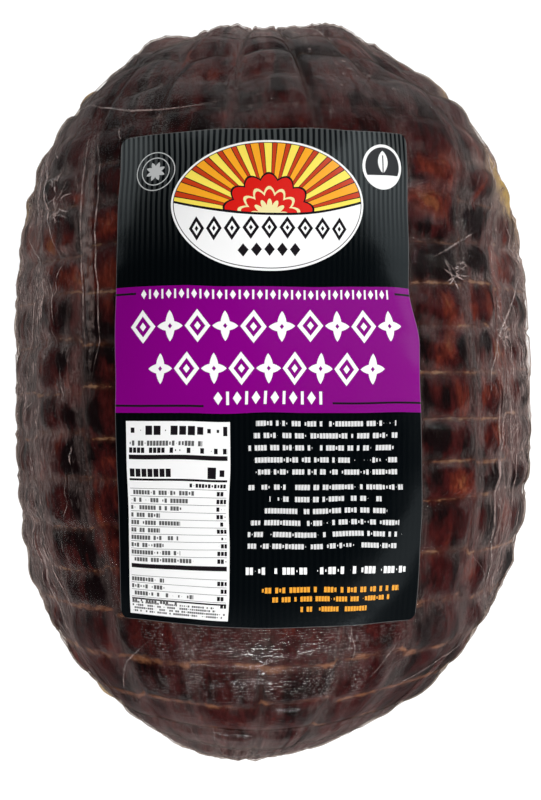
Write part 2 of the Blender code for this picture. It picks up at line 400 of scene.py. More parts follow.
# Rows over which the finish of the meat and the film changes, towards the plain end or the gathered one
PLAINER_START = (6.0, 8.5)  # blocks more like one another
PLAINER_END = (16.5, 18.5)
WIDER_CORDS = (6.5, 8.0)
BROWN_CORDS = (6.0, 8.5)
CORDS_LOST = (13.5, 17.5)
CLEAR_MARKS_START = (3.5, 6.5)  # no haze over the marks
CLEAR_MARKS_END = (16.8, 18.2)
MILKY_START = (3.4, 5.6)
MILKY_END = (17.0, 18.8)
# rows where the painted glint flecks on the gathered end fade in and out
GLINT_FLECKS_START = (16.8, 19.0)
GLINT_FLECKS_END = (20.5, 21.8)
SHINIER_END = (16.8, 18.5)

# Colours of the meat and the film that go with the settings
JOINT_RED = (0.020, 0.0035, 0.0028)
STAIN_BROWN = (0.065, 0.021, 0.012)
PLAIN_END_CORD = (0.21, 0.088, 0.040)
FAINT_CORD = (0.12, 0.040, 0.018)
AMBER = (0.55, 0.36, 0.10)
CLEAR = (0.95, 0.94, 0.93)
EDGE_BROWN = (0.30, 0.235, 0.18)
CLEAR_FOLD = (0.97, 0.97, 0.97)
WHITE_SHINE = (1.0, 1.0, 1.0)

# Colours of the print that go with the settings
INK = (0.010, 0.008, 0.010)
SIGNAL_RED = (0.62, 0.012, 0.008)
SUN_RED = (0.52, 0.045, 0.010)
SUN_ORANGE = (0.88, 0.37, 0.020)
SUN_YELLOW = (0.90, 0.72, 0.10)
CREAM = (0.80, 0.72, 0.36)
PALE_GREY = (0.50, 0.51, 0.51)
MID_GREY = (0.10, 0.10, 0.10)
PRINT_ORANGE = (0.78, 0.33, 0.035)
PRINT_WHITE = (0.66, 0.66, 0.66)
RIM_GREY = (0.16, 0.15, 0.15)

# Shapes of the print, in millimetres from the label's middle
PINSTRIPE_PITCH = 2.15
PINSTRIPE_EDGES = (0.17, 0.33)  # parts of a stripe's pitch
PINSTRIPE_LEVELS = (40.0, 104.0)  # where the stripes grow from faint to full
PINSTRIPE_FAINT = 0.012
RIM_WIDTHS = (0.12, 0.32)
RIM_STRENGTH = 0.5
DASH_FILL = 0.82  # share of its step that the longest dash takes
DASH_DRAWS = (0.14, 0.40)  # draws that give no dash and a full one
LEAF_BEND = 1.4  # how far a leaf's two ovals lie apart, in half widths
LEAF_FULLNESS = 1.06
BADGE_PLACE = (0.5, 63.0)
BADGE_HALF = (35.5, 24.6)
BADGE_LINE_HALF = (34.7, 23.8)
BADGE_FIELD_HALF = (34.4, 23.5)
HORIZON_LEVEL = -4.0
HORIZON_SAG = 0.0042  # how much it rises towards the sides, for each square millimetre
HORIZON_HALF_LINE = 0.45
FAN_FOOT = 5.0  # how far under the badge's middle the rays meet
RAYS = 9  # in half a turn
RAY_EDGES = (0.16, 0.34)  # parts of half a ray
RAY_HALF_LINE = 0.016
ROSETTE_RADIUS = 14.5
ROSETTE_LOBES = 7  # in half a turn
ROSETTE_LOBE_DEPTH = 2.4
ROSETTE_RINGS = ((0.0, INK), (0.8, SIGNAL_RED), (5.4, CREAM), (6.6, SIGNAL_RED), (10.2, CREAM))
STAR_SEAL_PLACE = (-42.0, 77.0)
STAR_SEAL_RINGS = ((7.9, 7.5), (5.7, 5.3))  # outer and inner radius
STAR_POINTS = 4  # in half a turn
STAR_HOLLOW = 2.2
STAR_POINT_LENGTH = 3.6  # for each part of a turn between two points
LEAF_SEAL_PLACE = (45.0, 78.2)
LEAF_SEAL_RADIUS = 8.9
LEAF_SEAL_HOLLOW = 7.7
LEAF_SEAL_FOOT = -3.4
LEAF_LIFT = 1.8
LEAF_HALF = (2.2, 4.2)
BAND_BOTTOM = -13.0
BAND_TOP = 33.0
BAND_RULES = ((-60.0, -48.5, 30.4), (49.8, 60.0, 30.4), (-60.0, -23.5, -10.4), (24.0, 60.0, -9.4))
RULE_HALF = 0.4
PANEL_LEFT = -53.0
PANEL_RIGHT = -14.0
PANEL_BOTTOM = -90.0
PANEL_TOP = -16.0
PANEL_MARGIN = 1.0
PANEL_RULES = ((13.3, 1.7), (21.6, 0.8), (54.4, 1.7), (67.7, 0.6))  # down from the panel's top, and height
LIST_LINE = 2.83
LISTS = ((24.9, 10, 18), (58.4, 4, 19))  # down from the panel's top, lines, and the draw for the dashes
HAIRLINE_HALF = 0.09

# Camera, straight above the label, and floor
EYE_PLACE = (-0.00094, -0.00282, 0.5032)
LENS = 43.05
SENSOR = 36.0
NEAREST_SEEN = 0.02
FLOOR_SIZE = 6.0

# Lamps: name, direction in degrees from +X and above the horizon, width and height, and watts
LAMP_DISTANCE = 1.3
LAMPS = (
    ("near_end", -90, 38, (1.15, 0.26), 15.0),
    ("right", 20, 29, (0.30, 0.12), 2.6),
    ("window", 40, 45, (0.95, 0.55), 2.3),
    ("near_right", -36, 46, (0.6, 0.40), 0.5),
    ("far_left", 146, 22, (0.55, 0.30), 0.5),
    ("far_end", 95, 26, (1.1, 0.45), 2.2),
    ("fill", 40, 62, (0.9, 0.9), 8.0),
)

# Room: brightness low down and high up, and where the one turns into the other, as parts of a unit sphere
ROOM_BRIGHT = 0.17
ROOM_DARK = 0.010
ROOM_EDGE_TURN = (-0.70, 0.15)
ROOM_EDGE_HEIGHT = (0.36, 0.80)
ROOM_EDGE_SOFTNESS = 0.10

# Numbers without a pattern of their own, which turn a cell's place into an even draw
SCRAMBLE_STEPS = (127.1, 311.7, 74.7)
SCRAMBLE_SALT = 17.17
SCRAMBLE_SCALE = 43758.5453

WIDEST_LEVEL = BELLY_DEPTH - SETTLED
MEAN_RADIUS = (WIDTH / 2 + (CREST_HEIGHT + BELLY_DEPTH) / 2) / 2
DRAW = np.random.default_rng(SEED)


# ---------------------------------------------------------------- settings


class HAM_PG_meat(bpy.types.PropertyGroup):
    """Sizes and colours of the meat."""

    column_share: FloatProperty(
        name="Column marks",
        description="Depth of the net marks along the ham, as a share of the solid's",
        default=0.85,
        min=0.5,
        max=2.0,
    )
    row_share: FloatProperty(
        name="Row marks",
        description="Depth of the net marks round the ham, as a share of the solid's",
        default=0.95,
        min=0.5,
        max=2.0,
    )
    clearance: FloatProperty(
        name="Clearance",
        description="Least distance from the film down to the meat",
        default=0.00035,
        min=0.0002,
        max=0.003,
        unit="LENGTH",
    )
    grain_height: FloatProperty(
        name="Grain height",
        description="Height of the small lumps in the meat's surface",
        default=0.0004,
        min=0.0,
        max=0.002,
        unit="LENGTH",
    )
    dark: FloatVectorProperty(
        name="Smoked colour",
        description="Colour of the darkest crust",
        default=(0.0042, 0.0014, 0.0018),
        min=0.0,
        max=1.0,
        subtype="COLOR",
    )
    warm: FloatVectorProperty(
        name="Mahogany colour",
        description="Colour of the crust between its dark and its bright places",
        default=(0.034, 0.0046, 0.0046),
        min=0.0,
        max=1.0,
        subtype="COLOR",
    )
    bright: FloatVectorProperty(
        name="Bright colour",
        description="Colour where the crust is thin",
        default=(0.090, 0.0145, 0.0085),
        min=0.0,
        max=1.0,
        subtype="COLOR",
    )
    orange: FloatVectorProperty(
        name="Orange colour",
        description="Colour of the few places with hardly any smoke on them",
        default=(0.155, 0.048, 0.020),
        min=0.0,
        max=1.0,
        subtype="COLOR",
    )
    cord_mark: FloatVectorProperty(
        name="Cord mark colour",
        description="Colour of the pale lines where the net's cords lay",
        default=(0.26, 0.145, 0.080),
        min=0.0,
        max=1.0,
        subtype="COLOR",
    )


class HAM_PG_film(bpy.types.PropertyGroup):
    """Sizes and colours of the clear film."""

    column_share: FloatProperty(
        name="Column marks",
        description="How far the film sinks into the marks along the ham, as a share of the solid's",
        default=0.40,
        min=0.0,
        max=1.0,
    )
    row_share: FloatProperty(
        name="Row marks",
        description="How far the film sinks into the marks round the ham, as a share of the solid's",
        default=0.85,
        min=0.0,
        max=1.0,
    )
    wrinkle_height: FloatProperty(
        name="Wrinkle height",
        description="Height of the wrinkles where the film is loose",
        default=0.0009,
        min=0.0,
        max=0.003,
        unit="LENGTH",
    )
    gather_height: FloatProperty(
        name="Gather height",
        description="Height of the wrinkles that run together at both ends",
        default=0.0007,
        min=0.0,
        max=0.003,
        unit="LENGTH",
    )
    haze: FloatVectorProperty(
        name="Haze colour",
        description="Colour of the film where it is cloudy",
        default=(0.55, 0.41, 0.38),
        min=0.0,
        max=1.0,
        subtype="COLOR",
    )
    haze_strength: FloatProperty(
        name="Haze strength",
        description="Share of the light that cloudy film holds back",
        default=0.18,
        min=0.0,
        max=1.0,
        subtype="FACTOR",
    )
    fold_strength: FloatProperty(
        name="Fold strength",
        description="Share of the light that a full fold holds back",
        default=0.62,
        min=0.0,
        max=1.0,
        subtype="FACTOR",
    )
    folds: IntProperty(
        name="Folds",
        description="Number of fine raised folds in the film",
        default=560,
        min=0,
        max=900,
    )


class HAM_PG_label(bpy.types.PropertyGroup):
    """Colours of the print."""

    ground: FloatVectorProperty(
        name="Ground colour",
        description="Colour of the label's dark ground",
        default=(0.0008, 0.0016, 0.0023),
        min=0.0,
        max=1.0,
        subtype="COLOR",
    )
    pinstripe: FloatVectorProperty(
        name="Pinstripe colour",
        description="Colour of the fine stripes in the ground",
        default=(0.060, 0.066, 0.066),
        min=0.0,
        max=1.0,
        subtype="COLOR",
    )
    band: FloatVectorProperty(
        name="Band colour",
        description="Colour of the wide band across the label",
        default=(0.200, 0.0004, 0.192),
        min=0.0,
        max=1.0,
        subtype="COLOR",
    )
    paper: FloatVectorProperty(
        name="Paper colour",
        description="Colour of the white print",
        default=(0.86, 0.86, 0.86),
        min=0.0,
        max=1.0,
        subtype="COLOR",
    )


# ---------------------------------------------------------------- form of the ham, as in the part's source


def signed_power(value, power):
    """value raised to power, keeping its sign."""
    return np.sign(value) * np.abs(value) ** power


def arc_lengths(points):
    """Distance along a line of points from its first to each of them."""
    steps = np.linalg.norm(np.diff(points, axis=0), axis=1)
    return np.concatenate([[0.0], np.cumsum(steps)])


def long_outline(slope):
    """Place along Y and swell (0 to 1), from the plain end (slope -pi/2) to the gathered end (pi/2)."""
    rounding = np.where(slope < 0, PLAIN_ROUNDING, GATHERED_ROUNDING)
    bluntness = np.where(slope < 0, PLAIN_BLUNTNESS, GATHERED_BLUNTNESS)
    along = LENGTH / 2 * signed_power(np.sin(slope), 2 / rounding)
    swell = np.abs(np.cos(slope)) ** (2 / bluntness)
    return along, swell


def cross_outline(angle):
    """The cross section at full swell: X and Z from its centre, for an angle from +X over the crest."""
    up = np.sin(angle) >= 0
    rounding = np.where(up, CREST_ROUNDING, BELLY_ROUNDING)
    across = WIDTH / 2 * signed_power(np.cos(angle), 2 / rounding)
    height = np.where(up, CREST_HEIGHT, BELLY_DEPTH) * signed_power(np.sin(angle), 2 / rounding)
    return across, height


# Tables that turn a share of the way round or along the form into an angle
SLOPES = np.linspace(-math.pi / 2, math.pi / 2, TABLE_STEPS)
ALONG, SWELL = long_outline(SLOPES)
LONG_ARC = arc_lengths(np.stack([ALONG, SWELL * MEAN_RADIUS], axis=1))
LONG_SHARE = LONG_ARC / LONG_ARC[-1]
ANGLES = np.linspace(0, 2 * math.pi, TABLE_STEPS)
CROSS_ARC = arc_lengths(np.stack(cross_outline(ANGLES), axis=1))
CROSS_SHARE = CROSS_ARC / CROSS_ARC[-1]
CREST_SHARE = np.interp(math.pi / 2, ANGLES, CROSS_SHARE)

LUMP_DIRECTIONS = DRAW.normal(size=(LUMP_WAVES, 3))
LUMP_DIRECTIONS /= np.linalg.norm(LUMP_DIRECTIONS, axis=1, keepdims=True)
LUMP_NUMBERS = 2 * math.pi / DRAW.uniform(*LUMP_LENGTHS, size=LUMP_WAVES)
LUMP_PHASES = DRAW.uniform(0, 2 * math.pi, size=LUMP_WAVES)
COLUMN_DEPTHS = COLUMN_MARK_DEPTH * (1 + MARK_VARIATION * DRAW.uniform(-1, 1, size=COLUMNS))
ROW_DEPTHS = ROW_MARK_DEPTH * (1 + MARK_VARIATION * DRAW.uniform(-1, 1, size=ROWS + 1))
BLOCKS = BLOCK_UNEVENNESS * DRAW.uniform(0, 1, size=(COLUMNS, ROWS))
COLUMN_SHIFTS = COLUMN_MARK_SHIFT * DRAW.uniform(-1, 1, size=(COLUMNS, ROWS))
END_BOWS = DRAW.uniform(-0.2, 1, size=(COLUMNS, ROWS + 1))
END_STRETCHES = DRAW.uniform(0.3, 1, size=(COLUMNS, ROWS + 1))
ROW_SHIFTS = ROW_MARK_SHIFT * DRAW.uniform(-1, 1, size=(COLUMNS, ROWS + 1))


def bare_form(round_share, long_share):
    """Points, outward directions and swell of the smooth form, at shares of the way round and along it."""
    angle = np.interp(round_share % 1.0, CROSS_SHARE, ANGLES)
    slope = np.interp(long_share, LONG_SHARE, SLOPES)
    along, swell = long_outline(slope)
    across, height = cross_outline(angle)
    points = np.stack([across * swell, along, height * swell], axis=-1)
    rounding = np.where(along < 0, PLAIN_ROUNDING, GATHERED_ROUNDING)
    bluntness = np.where(along < 0, PLAIN_BLUNTNESS, GATHERED_BLUNTNESS)
    cross_power = np.where(height < 0, BELLY_ROUNDING, CREST_ROUNDING) - 1
    tall = np.where(height < 0, BELLY_DEPTH, CREST_HEIGHT)
    aside = bluntness * swell ** (bluntness - 1)
    outward_x = aside * signed_power(across / (WIDTH / 2), cross_power) / (WIDTH / 2)
    outward_y = rounding * signed_power(along / (LENGTH / 2), rounding - 1) / (LENGTH / 2)
    outward_z = aside * signed_power(height / tall, cross_power) / tall
    outward = np.stack([outward_x, outward_y, outward_z], axis=-1)
    outward /= np.linalg.norm(outward, axis=-1, keepdims=True)
    return points, outward, swell


def lumps(points):
    """Slow swelling and sinking of the form, from a few crossing waves."""
    waves = np.sin(points @ LUMP_DIRECTIONS.T * LUMP_NUMBERS + LUMP_PHASES)
    return LUMP_HEIGHT * waves.sum(axis=-1) / math.sqrt(LUMP_WAVES)


def mark(cells, share):
    """1 in the middle of a mark, falling to 0 at its edges."""
    distance = np.abs(cells - np.round(cells))
    return 0.5 + 0.5 * np.cos(math.pi * np.clip(distance / share, 0, 1))


def crown(cells):
    """0 where a cell begins and ends, 1 in its middle."""
    part = cells - np.floor(cells)
    return 4 * part * (1 - part)


def fade(value, low, high):
    """0 below low, 1 above high, and a smooth rise between them."""
    share = np.clip((value - low) / (high - low), 0, 1)
    return share * share * (3 - 2 * share)


def soft_noise(places, salt):
    """Smooth noise between -1 and 1 at places counted in its own cells."""
    cell = np.floor(places)
    part = places - cell
    part = part * part * (3 - 2 * part)
    total = np.zeros(places.shape[:-1])
    for corner in itertools.product((0, 1), repeat=3):
        corner = np.array(corner)
        weight = np.prod(np.where(corner, part, 1 - part), axis=-1)
        scrambled = np.sin((cell + corner) @ SCRAMBLE_STEPS + salt * SCRAMBLE_SALT) * SCRAMBLE_SCALE
        total += weight * (2 * (scrambled - np.floor(scrambled)) - 1)
    return total


def nearest_row(rows):
    """Number of the row mark that is nearest."""
    return np.clip(np.round(rows).astype(int), 0, ROWS)


def net_depth(columns, rows, swell, column_share=1.0, row_share=1.0, as_solid=False):
    """How deep the surface lies under the form, at places counted in cells, with a share of the marks' depth.

    The skins have rounder blocks at the sides than the solid, and lumps in place of rows at the gathered end.
    """
    aside = np.abs((columns + COLUMNS / 2) % COLUMNS - COLUMNS / 2)
    at_side = 0 if as_solid else fade(aside, *ROUNDER_COLUMNS)
    at_end = 0 if as_solid else fade(rows, *END_ROWS)
    block_column = np.floor(columns).astype(int) % COLUMNS
    near_column = np.round(columns).astype(int) % COLUMNS
    rows = rows - END_BOW * END_BOWS[block_column, nearest_row(rows)] * at_end * (crown(columns) - 0.5)
    near_row = nearest_row(rows)
    in_column = mark(columns, COLUMN_MARK_SHARE)
    in_row = mark(rows, ROW_MARK_SHARE)
    column_marks = column_share * COLUMN_DEPTHS[near_column] * in_column * (1 + END_COLUMN_MARKS * at_end)
    shallower = 1 - END_ROW_MARKS * at_end * END_STRETCHES[block_column, near_row]
    row_marks = row_share * ROW_DEPTHS[near_row] * in_row * shallower
    marks = np.maximum(column_marks, row_marks)
    block_row = np.clip(np.floor(rows).astype(int), 0, ROWS - 1)
    rounding = BLOCK_CROWN + ROUNDER_CROWN * at_side
    block = rounding * (1 - crown(columns) * crown(rows)) + BLOCKS[block_column, block_row]
    depth = marks + block * (1 - in_column) * (1 - in_row * (1 - at_end))
    turn = 2 * math.pi * columns / COLUMNS
    drum = LUMPS_TO_A_COLUMN * COLUMNS / (2 * math.pi)
    on_drum = np.stack([drum * np.cos(turn), drum * np.sin(turn), LUMPS_TO_A_ROW * rows], axis=-1)
    depth -= END_SWELLING * soft_noise(on_drum, LUMP_DRAW) * at_end * (1 - in_column)
    return depth * np.clip(swell / FULL_MARK_SWELL, 0, 1)


def crowded(columns, rows):
    """Columns and rows counted from the marks of a net that is drawn in at the sides."""
    aside = (columns + COLUMNS / 2) % COLUMNS - COLUMNS / 2
    between = fade(rows, *CROWDING_START) * (1 - fade(rows, *CROWDING_END))
    shift = np.interp(aside, *np.transpose(COLUMN_CROWDING)) * between
    right = np.interp(rows, *np.transpose(RIGHT_ROWS)) * fade(aside, *RIGHT_START)
    left = np.interp(rows, *np.transpose(LEFT_ROWS)) * fade(-aside, *LEFT_START)
    return columns + shift, rows + np.interp(rows, *np.transpose(PLAIN_END_ROWS)) + right + left


def unsettled(columns, rows):
    """Columns and rows counted from the net's marks as they lie, each stretch a little beside its line."""
    columns, rows = crowded(columns, rows)
    column_cell = np.floor(columns).astype(int) % COLUMNS
    row_cell = np.clip(np.floor(rows).astype(int), 0, ROWS - 1)
    column_line = np.round(columns).astype(int) % COLUMNS
    return columns + COLUMN_SHIFTS[column_line, row_cell], rows + ROW_SHIFTS[column_cell, nearest_row(rows)]


def shape_ends(points, swell):
    """Sinks the dimples into both ends and leans the ends over."""
    gathered = points[..., 1] > 0
    sink = np.exp(-((swell * MEAN_RADIUS / DIMPLE_RADIUS) ** 2))
    share = np.abs(points[..., 1]) / (LENGTH / 2)
    moved = points.copy()
    moved[..., 1] += np.where(gathered, -DIMPLE_DEPTH, PLAIN_DIMPLE_DEPTH) * sink
    gathered_lean = GATHERED_END_SHIFT * share**GATHERED_END_LEAN
    moved[..., 0] += np.where(gathered, gathered_lean, PLAIN_END_SHIFT * share**PLAIN_END_LEAN)
    return moved


def share_turned(columns, rows):
    """Share of the way round, from the crest to the right, of places counted in cells."""
    return (columns + NET_START + NET_TWIST * (rows / ROWS - 0.5)) / COLUMNS


def skin_places(columns, rows, column_share=1.0, row_share=1.0, shifted=True):
    """Bare points, outward directions, swell and net depth at places counted in cells."""
    turned = share_turned(columns, rows)
    sloped = rows + NET_SLOPE * np.sin(math.pi * rows / ROWS) * (1 + np.sin(2 * math.pi * turned)) / 2
    points, outward, swell = bare_form(CREST_SHARE - turned, sloped / ROWS)
    from_marks = unsettled(columns, rows) if shifted else (columns, rows)
    return points, outward, swell, net_depth(*from_marks, swell, column_share, row_share, not shifted)


def raise_skin(places, lift):
    """Points of a skin that stands lift metres above the bare form."""
    points, outward, swell, _ = places
    raised = shape_ends(points + outward * lift[..., None], swell)
    raised[..., 2] = np.maximum(raised[..., 2] + WIDEST_LEVEL, 0)
    return raised


def solid_middle():
    """Middle of the solid's box over the floor. The part's own frame has its origin there."""
    columns = (np.arange(COLUMNS)[:, None] + COLUMN_EDGES).ravel()
    rows = np.append((np.arange(ROWS)[:, None] + ROW_EDGES).ravel(), ROWS)
    places = skin_places(*np.meshgrid(columns, rows, indexing="ij"), shifted=False)
    solid = raise_skin(places, lumps(places[0]) - places[3]).reshape(-1, 3)
    middle = (solid.min(axis=0) + solid.max(axis=0)) / 2
    return np.array([middle[0], middle[1], 0.0])


FORM_MIDDLE = solid_middle()


def bend_label(across, along):
    """Points of the label's underside, for places on the flat label measured from its middle."""
    drawn_in = np.clip((along - LABEL_TUCK_START) / (LABEL_TUCK_END - LABEL_TUCK_START), 0, 1)
    edge = np.clip(across / (LABEL_WIDTH / 2), 0, 1)
    across = across - LABEL_TUCK * edge**3 * drawn_in**2 * (3 - 2 * drawn_in)
    crest_arc = arc_lengths(np.stack([ALONG, SWELL * CREST_HEIGHT], axis=1))
    crest_arc -= np.interp(0, ALONG, crest_arc)
    long_share = np.interp(along + LABEL_CENTRE_Y, crest_arc, LONG_SHARE)
    swell = np.interp(long_share, LONG_SHARE, SWELL)
    round_share = CREST_SHARE - (across + LABEL_CENTRE_X) / (CROSS_ARC[-1] * swell)
    points, outward, swell = bare_form(round_share, long_share)
    lift = lumps(points) + LABEL_GAP
    points = shape_ends(points + outward * lift[..., None], swell)
    points[..., 2] += WIDEST_LEVEL
    return points - FORM_MIDDLE


def round_corners(flat):
    """Draws the four corners of the flat label in on to arcs, with the points near them."""
    middle = np.array([LABEL_WIDTH / 2 - LABEL_CORNER, LABEL_LENGTH / 2 - LABEL_CORNER])
    past = np.maximum(np.abs(flat[:, :2]) - middle, 0)
    reach = np.hypot(past[:, 0], past[:, 1])
    drawn = past * (past.max(axis=1) / np.maximum(reach, 1e-9))[:, None]
    in_corner = (past[:, 0] > 0) & (past[:, 1] > 0)
    rounded = flat.copy()
    rounded[in_corner, :2] = (np.sign(flat[:, :2]) * (middle + drawn))[in_corner]
    return rounded


# ---------------------------------------------------------------- unevenness


def film_looseness(places):
    """0 where the film clings, over and under the middle, and 1 at the sides and towards the ends."""
    points, _, swell, _ = places
    at_side = fade(np.abs(points[..., 0]) / (WIDTH / 2), *LOOSE_SIDES)
    at_end = fade(1 - swell, *LOOSE_ENDS) * np.where(points[..., 1] < 0, PLAIN_END_LOOSENESS, 1.0)
    return np.clip(at_side + at_end, 0, 1)


def film_wrinkles(places, turned, sizes):
    """Height of the film's wrinkles: long ones down the sides, and gathers that run together at the ends."""
    points, _, swell, _ = places
    loose = film_looseness(places)
    long_ones = (1 - np.abs(soft_noise(points / LONG_WRINKLES, 1))) ** WRINKLE_SHARPNESS
    short_ones = (1 - np.abs(soft_noise(points / SHORT_WRINKLES, 2))) ** WRINKLE_SHARPNESS
    ridges = long_ones + SHORT_WRINKLE_SHARE * short_ones
    around = 2 * math.pi * turned
    spokes = [np.cos(around) * GATHERS_ROUND, np.sin(around) * GATHERS_ROUND, swell * GATHERS_INWARDS]
    gathers = (1 - np.abs(soft_noise(np.stack(spokes, axis=-1), 3))) ** GATHER_SHARPNESS
    gather_share = np.where(points[..., 1] < 0, PLAIN_END_GATHERS, GATHERED_END_GATHERS)
    at_end = fade(1 - swell, *GATHER_STARTS) * gather_share
    near_pole = np.clip(swell / EVEN_POLE, 0, 1)
    return (sizes.wrinkle_height * ridges * loose + sizes.gather_height * gathers * at_end) * near_pole


def film_skin(columns, rows, sizes):
    """Bare places and finished points of the film, at places counted in cells."""
    clinging = fade(rows, *END_ROWS)
    column_share = sizes.column_share + (FILM_END_SHARE - sizes.column_share) * clinging
    places = skin_places(columns, rows, column_share, sizes.row_share)
    lift = lumps(places[0]) - places[3]
    lift += film_wrinkles(places, share_turned(columns, rows), sizes)
    return places, raise_skin(places, lift) - FORM_MIDDLE


def place_round(draw, first_column, first_row):
    """A place on the sides that don't show from above."""
    return draw.uniform(first_column, COLUMNS - first_column), draw.uniform(first_row, LAST_ROW_ROUND)


def soft_patch(columns, rows, patch):
    """1 in the middle of a patch, falling to 0 past its edges."""
    column, row, half_width, half_length = patch
    aside = (columns - column + COLUMNS / 2) % COLUMNS - COLUMNS / 2
    return np.exp(-((aside / half_width) ** 2) - ((rows - row) / half_length) ** 2)


def contact_warmth(columns, rows):
    """How warm the meat shows where the film is sucked on to it, and 0 elsewhere."""
    draw = np.random.default_rng(CONTACT_SEED)
    patches = list(CONTACT_PATCHES)
    for _ in range(CONTACTS_ROUND):
        place = place_round(draw, *CONTACTS_FROM)
        warmth = draw.choice(CONTACT_WARMTHS)
        half_width = draw.uniform(*CONTACT_HALF_WIDTHS)
        patches.append((*place, half_width, draw.uniform(*CONTACT_HALF_LENGTHS), warmth))
    total = np.zeros(np.shape(columns))
    for *patch, warmth in patches:
        total += warmth * soft_patch(columns, rows, patch)
    return total


def weave_glint_share(columns, rows):
    """1 where the casing's weave shows in the film and its knots get painted glints, on two rows of blocks by
    the label, and 0 elsewhere.
    """
    aside = np.abs((columns + COLUMNS / 2) % COLUMNS - COLUMNS / 2)
    within = fade(rows, *WEAVE_START) * (1 - fade(rows, *WEAVE_END)) * (1 - fade(aside, *WEAVE_SIDES))
    counted = crowded(columns, rows)[1]
    return within * fade(counted - np.floor(counted), *WEAVE_IN_ROW)


def amber_share(columns, rows):
    """How much amber juice lies under the film, from 0 to 1."""
    total = sum(soft_patch(columns, rows, patch) for patch in AMBER_PATCHES)
    return np.clip(total, 0, 1)


# ---------------------------------------------------------------- folds in the film


def smooth_route(route):
    """A route's columns and rows at every station, with its bends rounded."""
    route = np.array(route, dtype=float)
    share = arc_lengths(route)
    stations = np.linspace(0, share[-1], FOLD_STATIONS)
    line = np.stack([np.interp(stations, share, part) for part in route.T], axis=1)
    line[1:-1] = (line[:-2] + 2 * line[1:-1] + line[2:]) / 4
    return line


def drawn_route(draw, column, row, length, lean):
    """A wandering route of length rows from a place, leaning by so many columns to a row."""
    steps = np.linspace(0, 1, SIDE_FOLD_POINTS)
    wander = np.cumsum(draw.normal(size=SIDE_FOLD_POINTS)) * SIDE_FOLD_WANDER * math.sqrt(length)
    columns = column + lean * length * steps + wander
    return np.stack([columns, np.clip(row + length * steps, END_MARGIN, ROWS - END_MARGIN)], axis=1)


def side_folds(draw, count):
    """Long thin folds that run along the ham where the film is loose.

    They show less at the plain end and on the right, and not at all at the gathered end.
    """
    folds = []
    while len(folds) < count:
        column = draw.uniform(-COLUMNS / 2, COLUMNS / 2)
        row = draw.uniform(*SIDE_FOLD_STARTS)
        length = 0.35 + 2.6 * draw.uniform() ** 2
        lean = draw.normal() * SIDE_FOLD_LEAN
        width = 0.0003 + 0.0006 * draw.uniform() ** 2
        strength = draw.uniform(0.2, 1.0) ** 2
        from_plain_end = 0.25 + 0.75 * fade(row, 3.5, 7.0)
        to_gathered_end = 1 - fade(row + length, 19.5, 21.5)
        on_right = 0.6 * fade(column, 1.0, 2.0) * fade(6.0 - column, 0, 1)
        show = strength * from_plain_end * (to_gathered_end * (1 - on_right))
        loose = film_looseness(skin_places(np.array([column]), np.array([row + length / 2])))[0]
        if draw.uniform() < loose + SIDE_FOLDS_ELSEWHERE:
            route = drawn_route(draw, column, row, length, lean)
            folds.append((route, width, width * SIDE_FOLD_HEIGHT_SHARE, show))
    return folds


def fan_folds(draw):
    """Fine folds that start together and spread out."""
    fans = list(FANS)
    for _ in range(FANS_ROUND):
        start = place_round(draw, *FANS_FROM)
        end = (start[0] + 0.3 * draw.normal(), start[1] - draw.uniform(2.5, 4.5))
        fans.append((start, end, draw.uniform(0.3, 0.8), FOLDS_TO_A_FAN_ROUND))
    folds = []
    for start, end, spread, count in fans:
        for _ in range(count):
            aside = spread * draw.uniform(-1, 1)
            reach = draw.uniform(0.45, 1.05)
            steps = np.linspace(draw.uniform(0, 0.25), reach, FAN_POINTS)
            columns = start[0] + (end[0] - start[0]) * steps + aside * steps**0.8
            columns += np.cumsum(draw.normal(size=FAN_POINTS)) * FAN_WANDER
            rows = start[1] + (end[1] - start[1]) * steps
            show = draw.uniform(0.25, 1.0) ** 1.5
            width = draw.uniform(0.0003, 0.0007)
            folds.append((np.stack([columns, rows], axis=1), width, FAN_FOLD_HEIGHT, show))
    return folds


def crumple_folds(draw):
    """Short folds that run every way round the middle of each crumple."""

    def next_point(start, reach, turn):
        across, along = CRUMPLE_REACH
        return start[0] + across * reach * math.cos(turn), start[1] + along * reach * math.sin(turn)

    places = [*CRUMPLES, *(place_round(draw, *CRUMPLES_FROM) for _ in range(CRUMPLES_ROUND))]
    folds = []
    for column, row in places:
        for _ in range(FOLDS_TO_A_CRUMPLE):
            turn = draw.uniform(0, 2 * math.pi)
            reach = draw.uniform(0.15, 0.55)
            start = (column + draw.normal() * CRUMPLE_SCATTER[0], row + draw.normal() * CRUMPLE_SCATTER[1])
            middle = next_point(start, reach, turn)
            turn += draw.normal() * 0.5
            end = next_point(middle, reach, turn)
            width = draw.uniform(0.0004, 0.0009)
            folds.append(((start, middle, end), width, CRUMPLE_FOLD_HEIGHT, draw.uniform(0.3, 0.9)))
    return folds


def fold_shape(bar, fold, sizes):
    """Points of a bar bent along its route over the film, and how much each of them shows."""
    route, width, height, show = fold
    line = smooth_route(route)
    places, middle = film_skin(line[:, 0], line[:, 1], sizes)
    along = np.gradient(middle, axis=0)
    aside = np.cross(along, places[1])
    aside /= np.linalg.norm(aside, axis=1, keepdims=True)
    station = np.round((bar[:, 2] + 0.5) * (FOLD_STATIONS - 1)).astype(int)
    share = np.clip(station / (FOLD_STATIONS - 1), FOLD_TIP, 1 - FOLD_TIP)
    taper = np.sin(math.pi * share) ** FOLD_TAPER
    across = (bar[:, 0] * width * taper)[:, None] * aside[station]
    up = (((bar[:, 1] + 0.5) * taper * height) - FOLD_SUNK)[:, None] * places[1][station]
    points = middle[station] + across + up
    points[:, 2] = np.maximum(points[:, 2], 0)
    return points, show * taper


# ---------------------------------------------------------------- modelling


def deselect_all():
    """Leaves nothing selected."""
    for thing in bpy.context.view_layer.objects:
        thing.select_set(False)


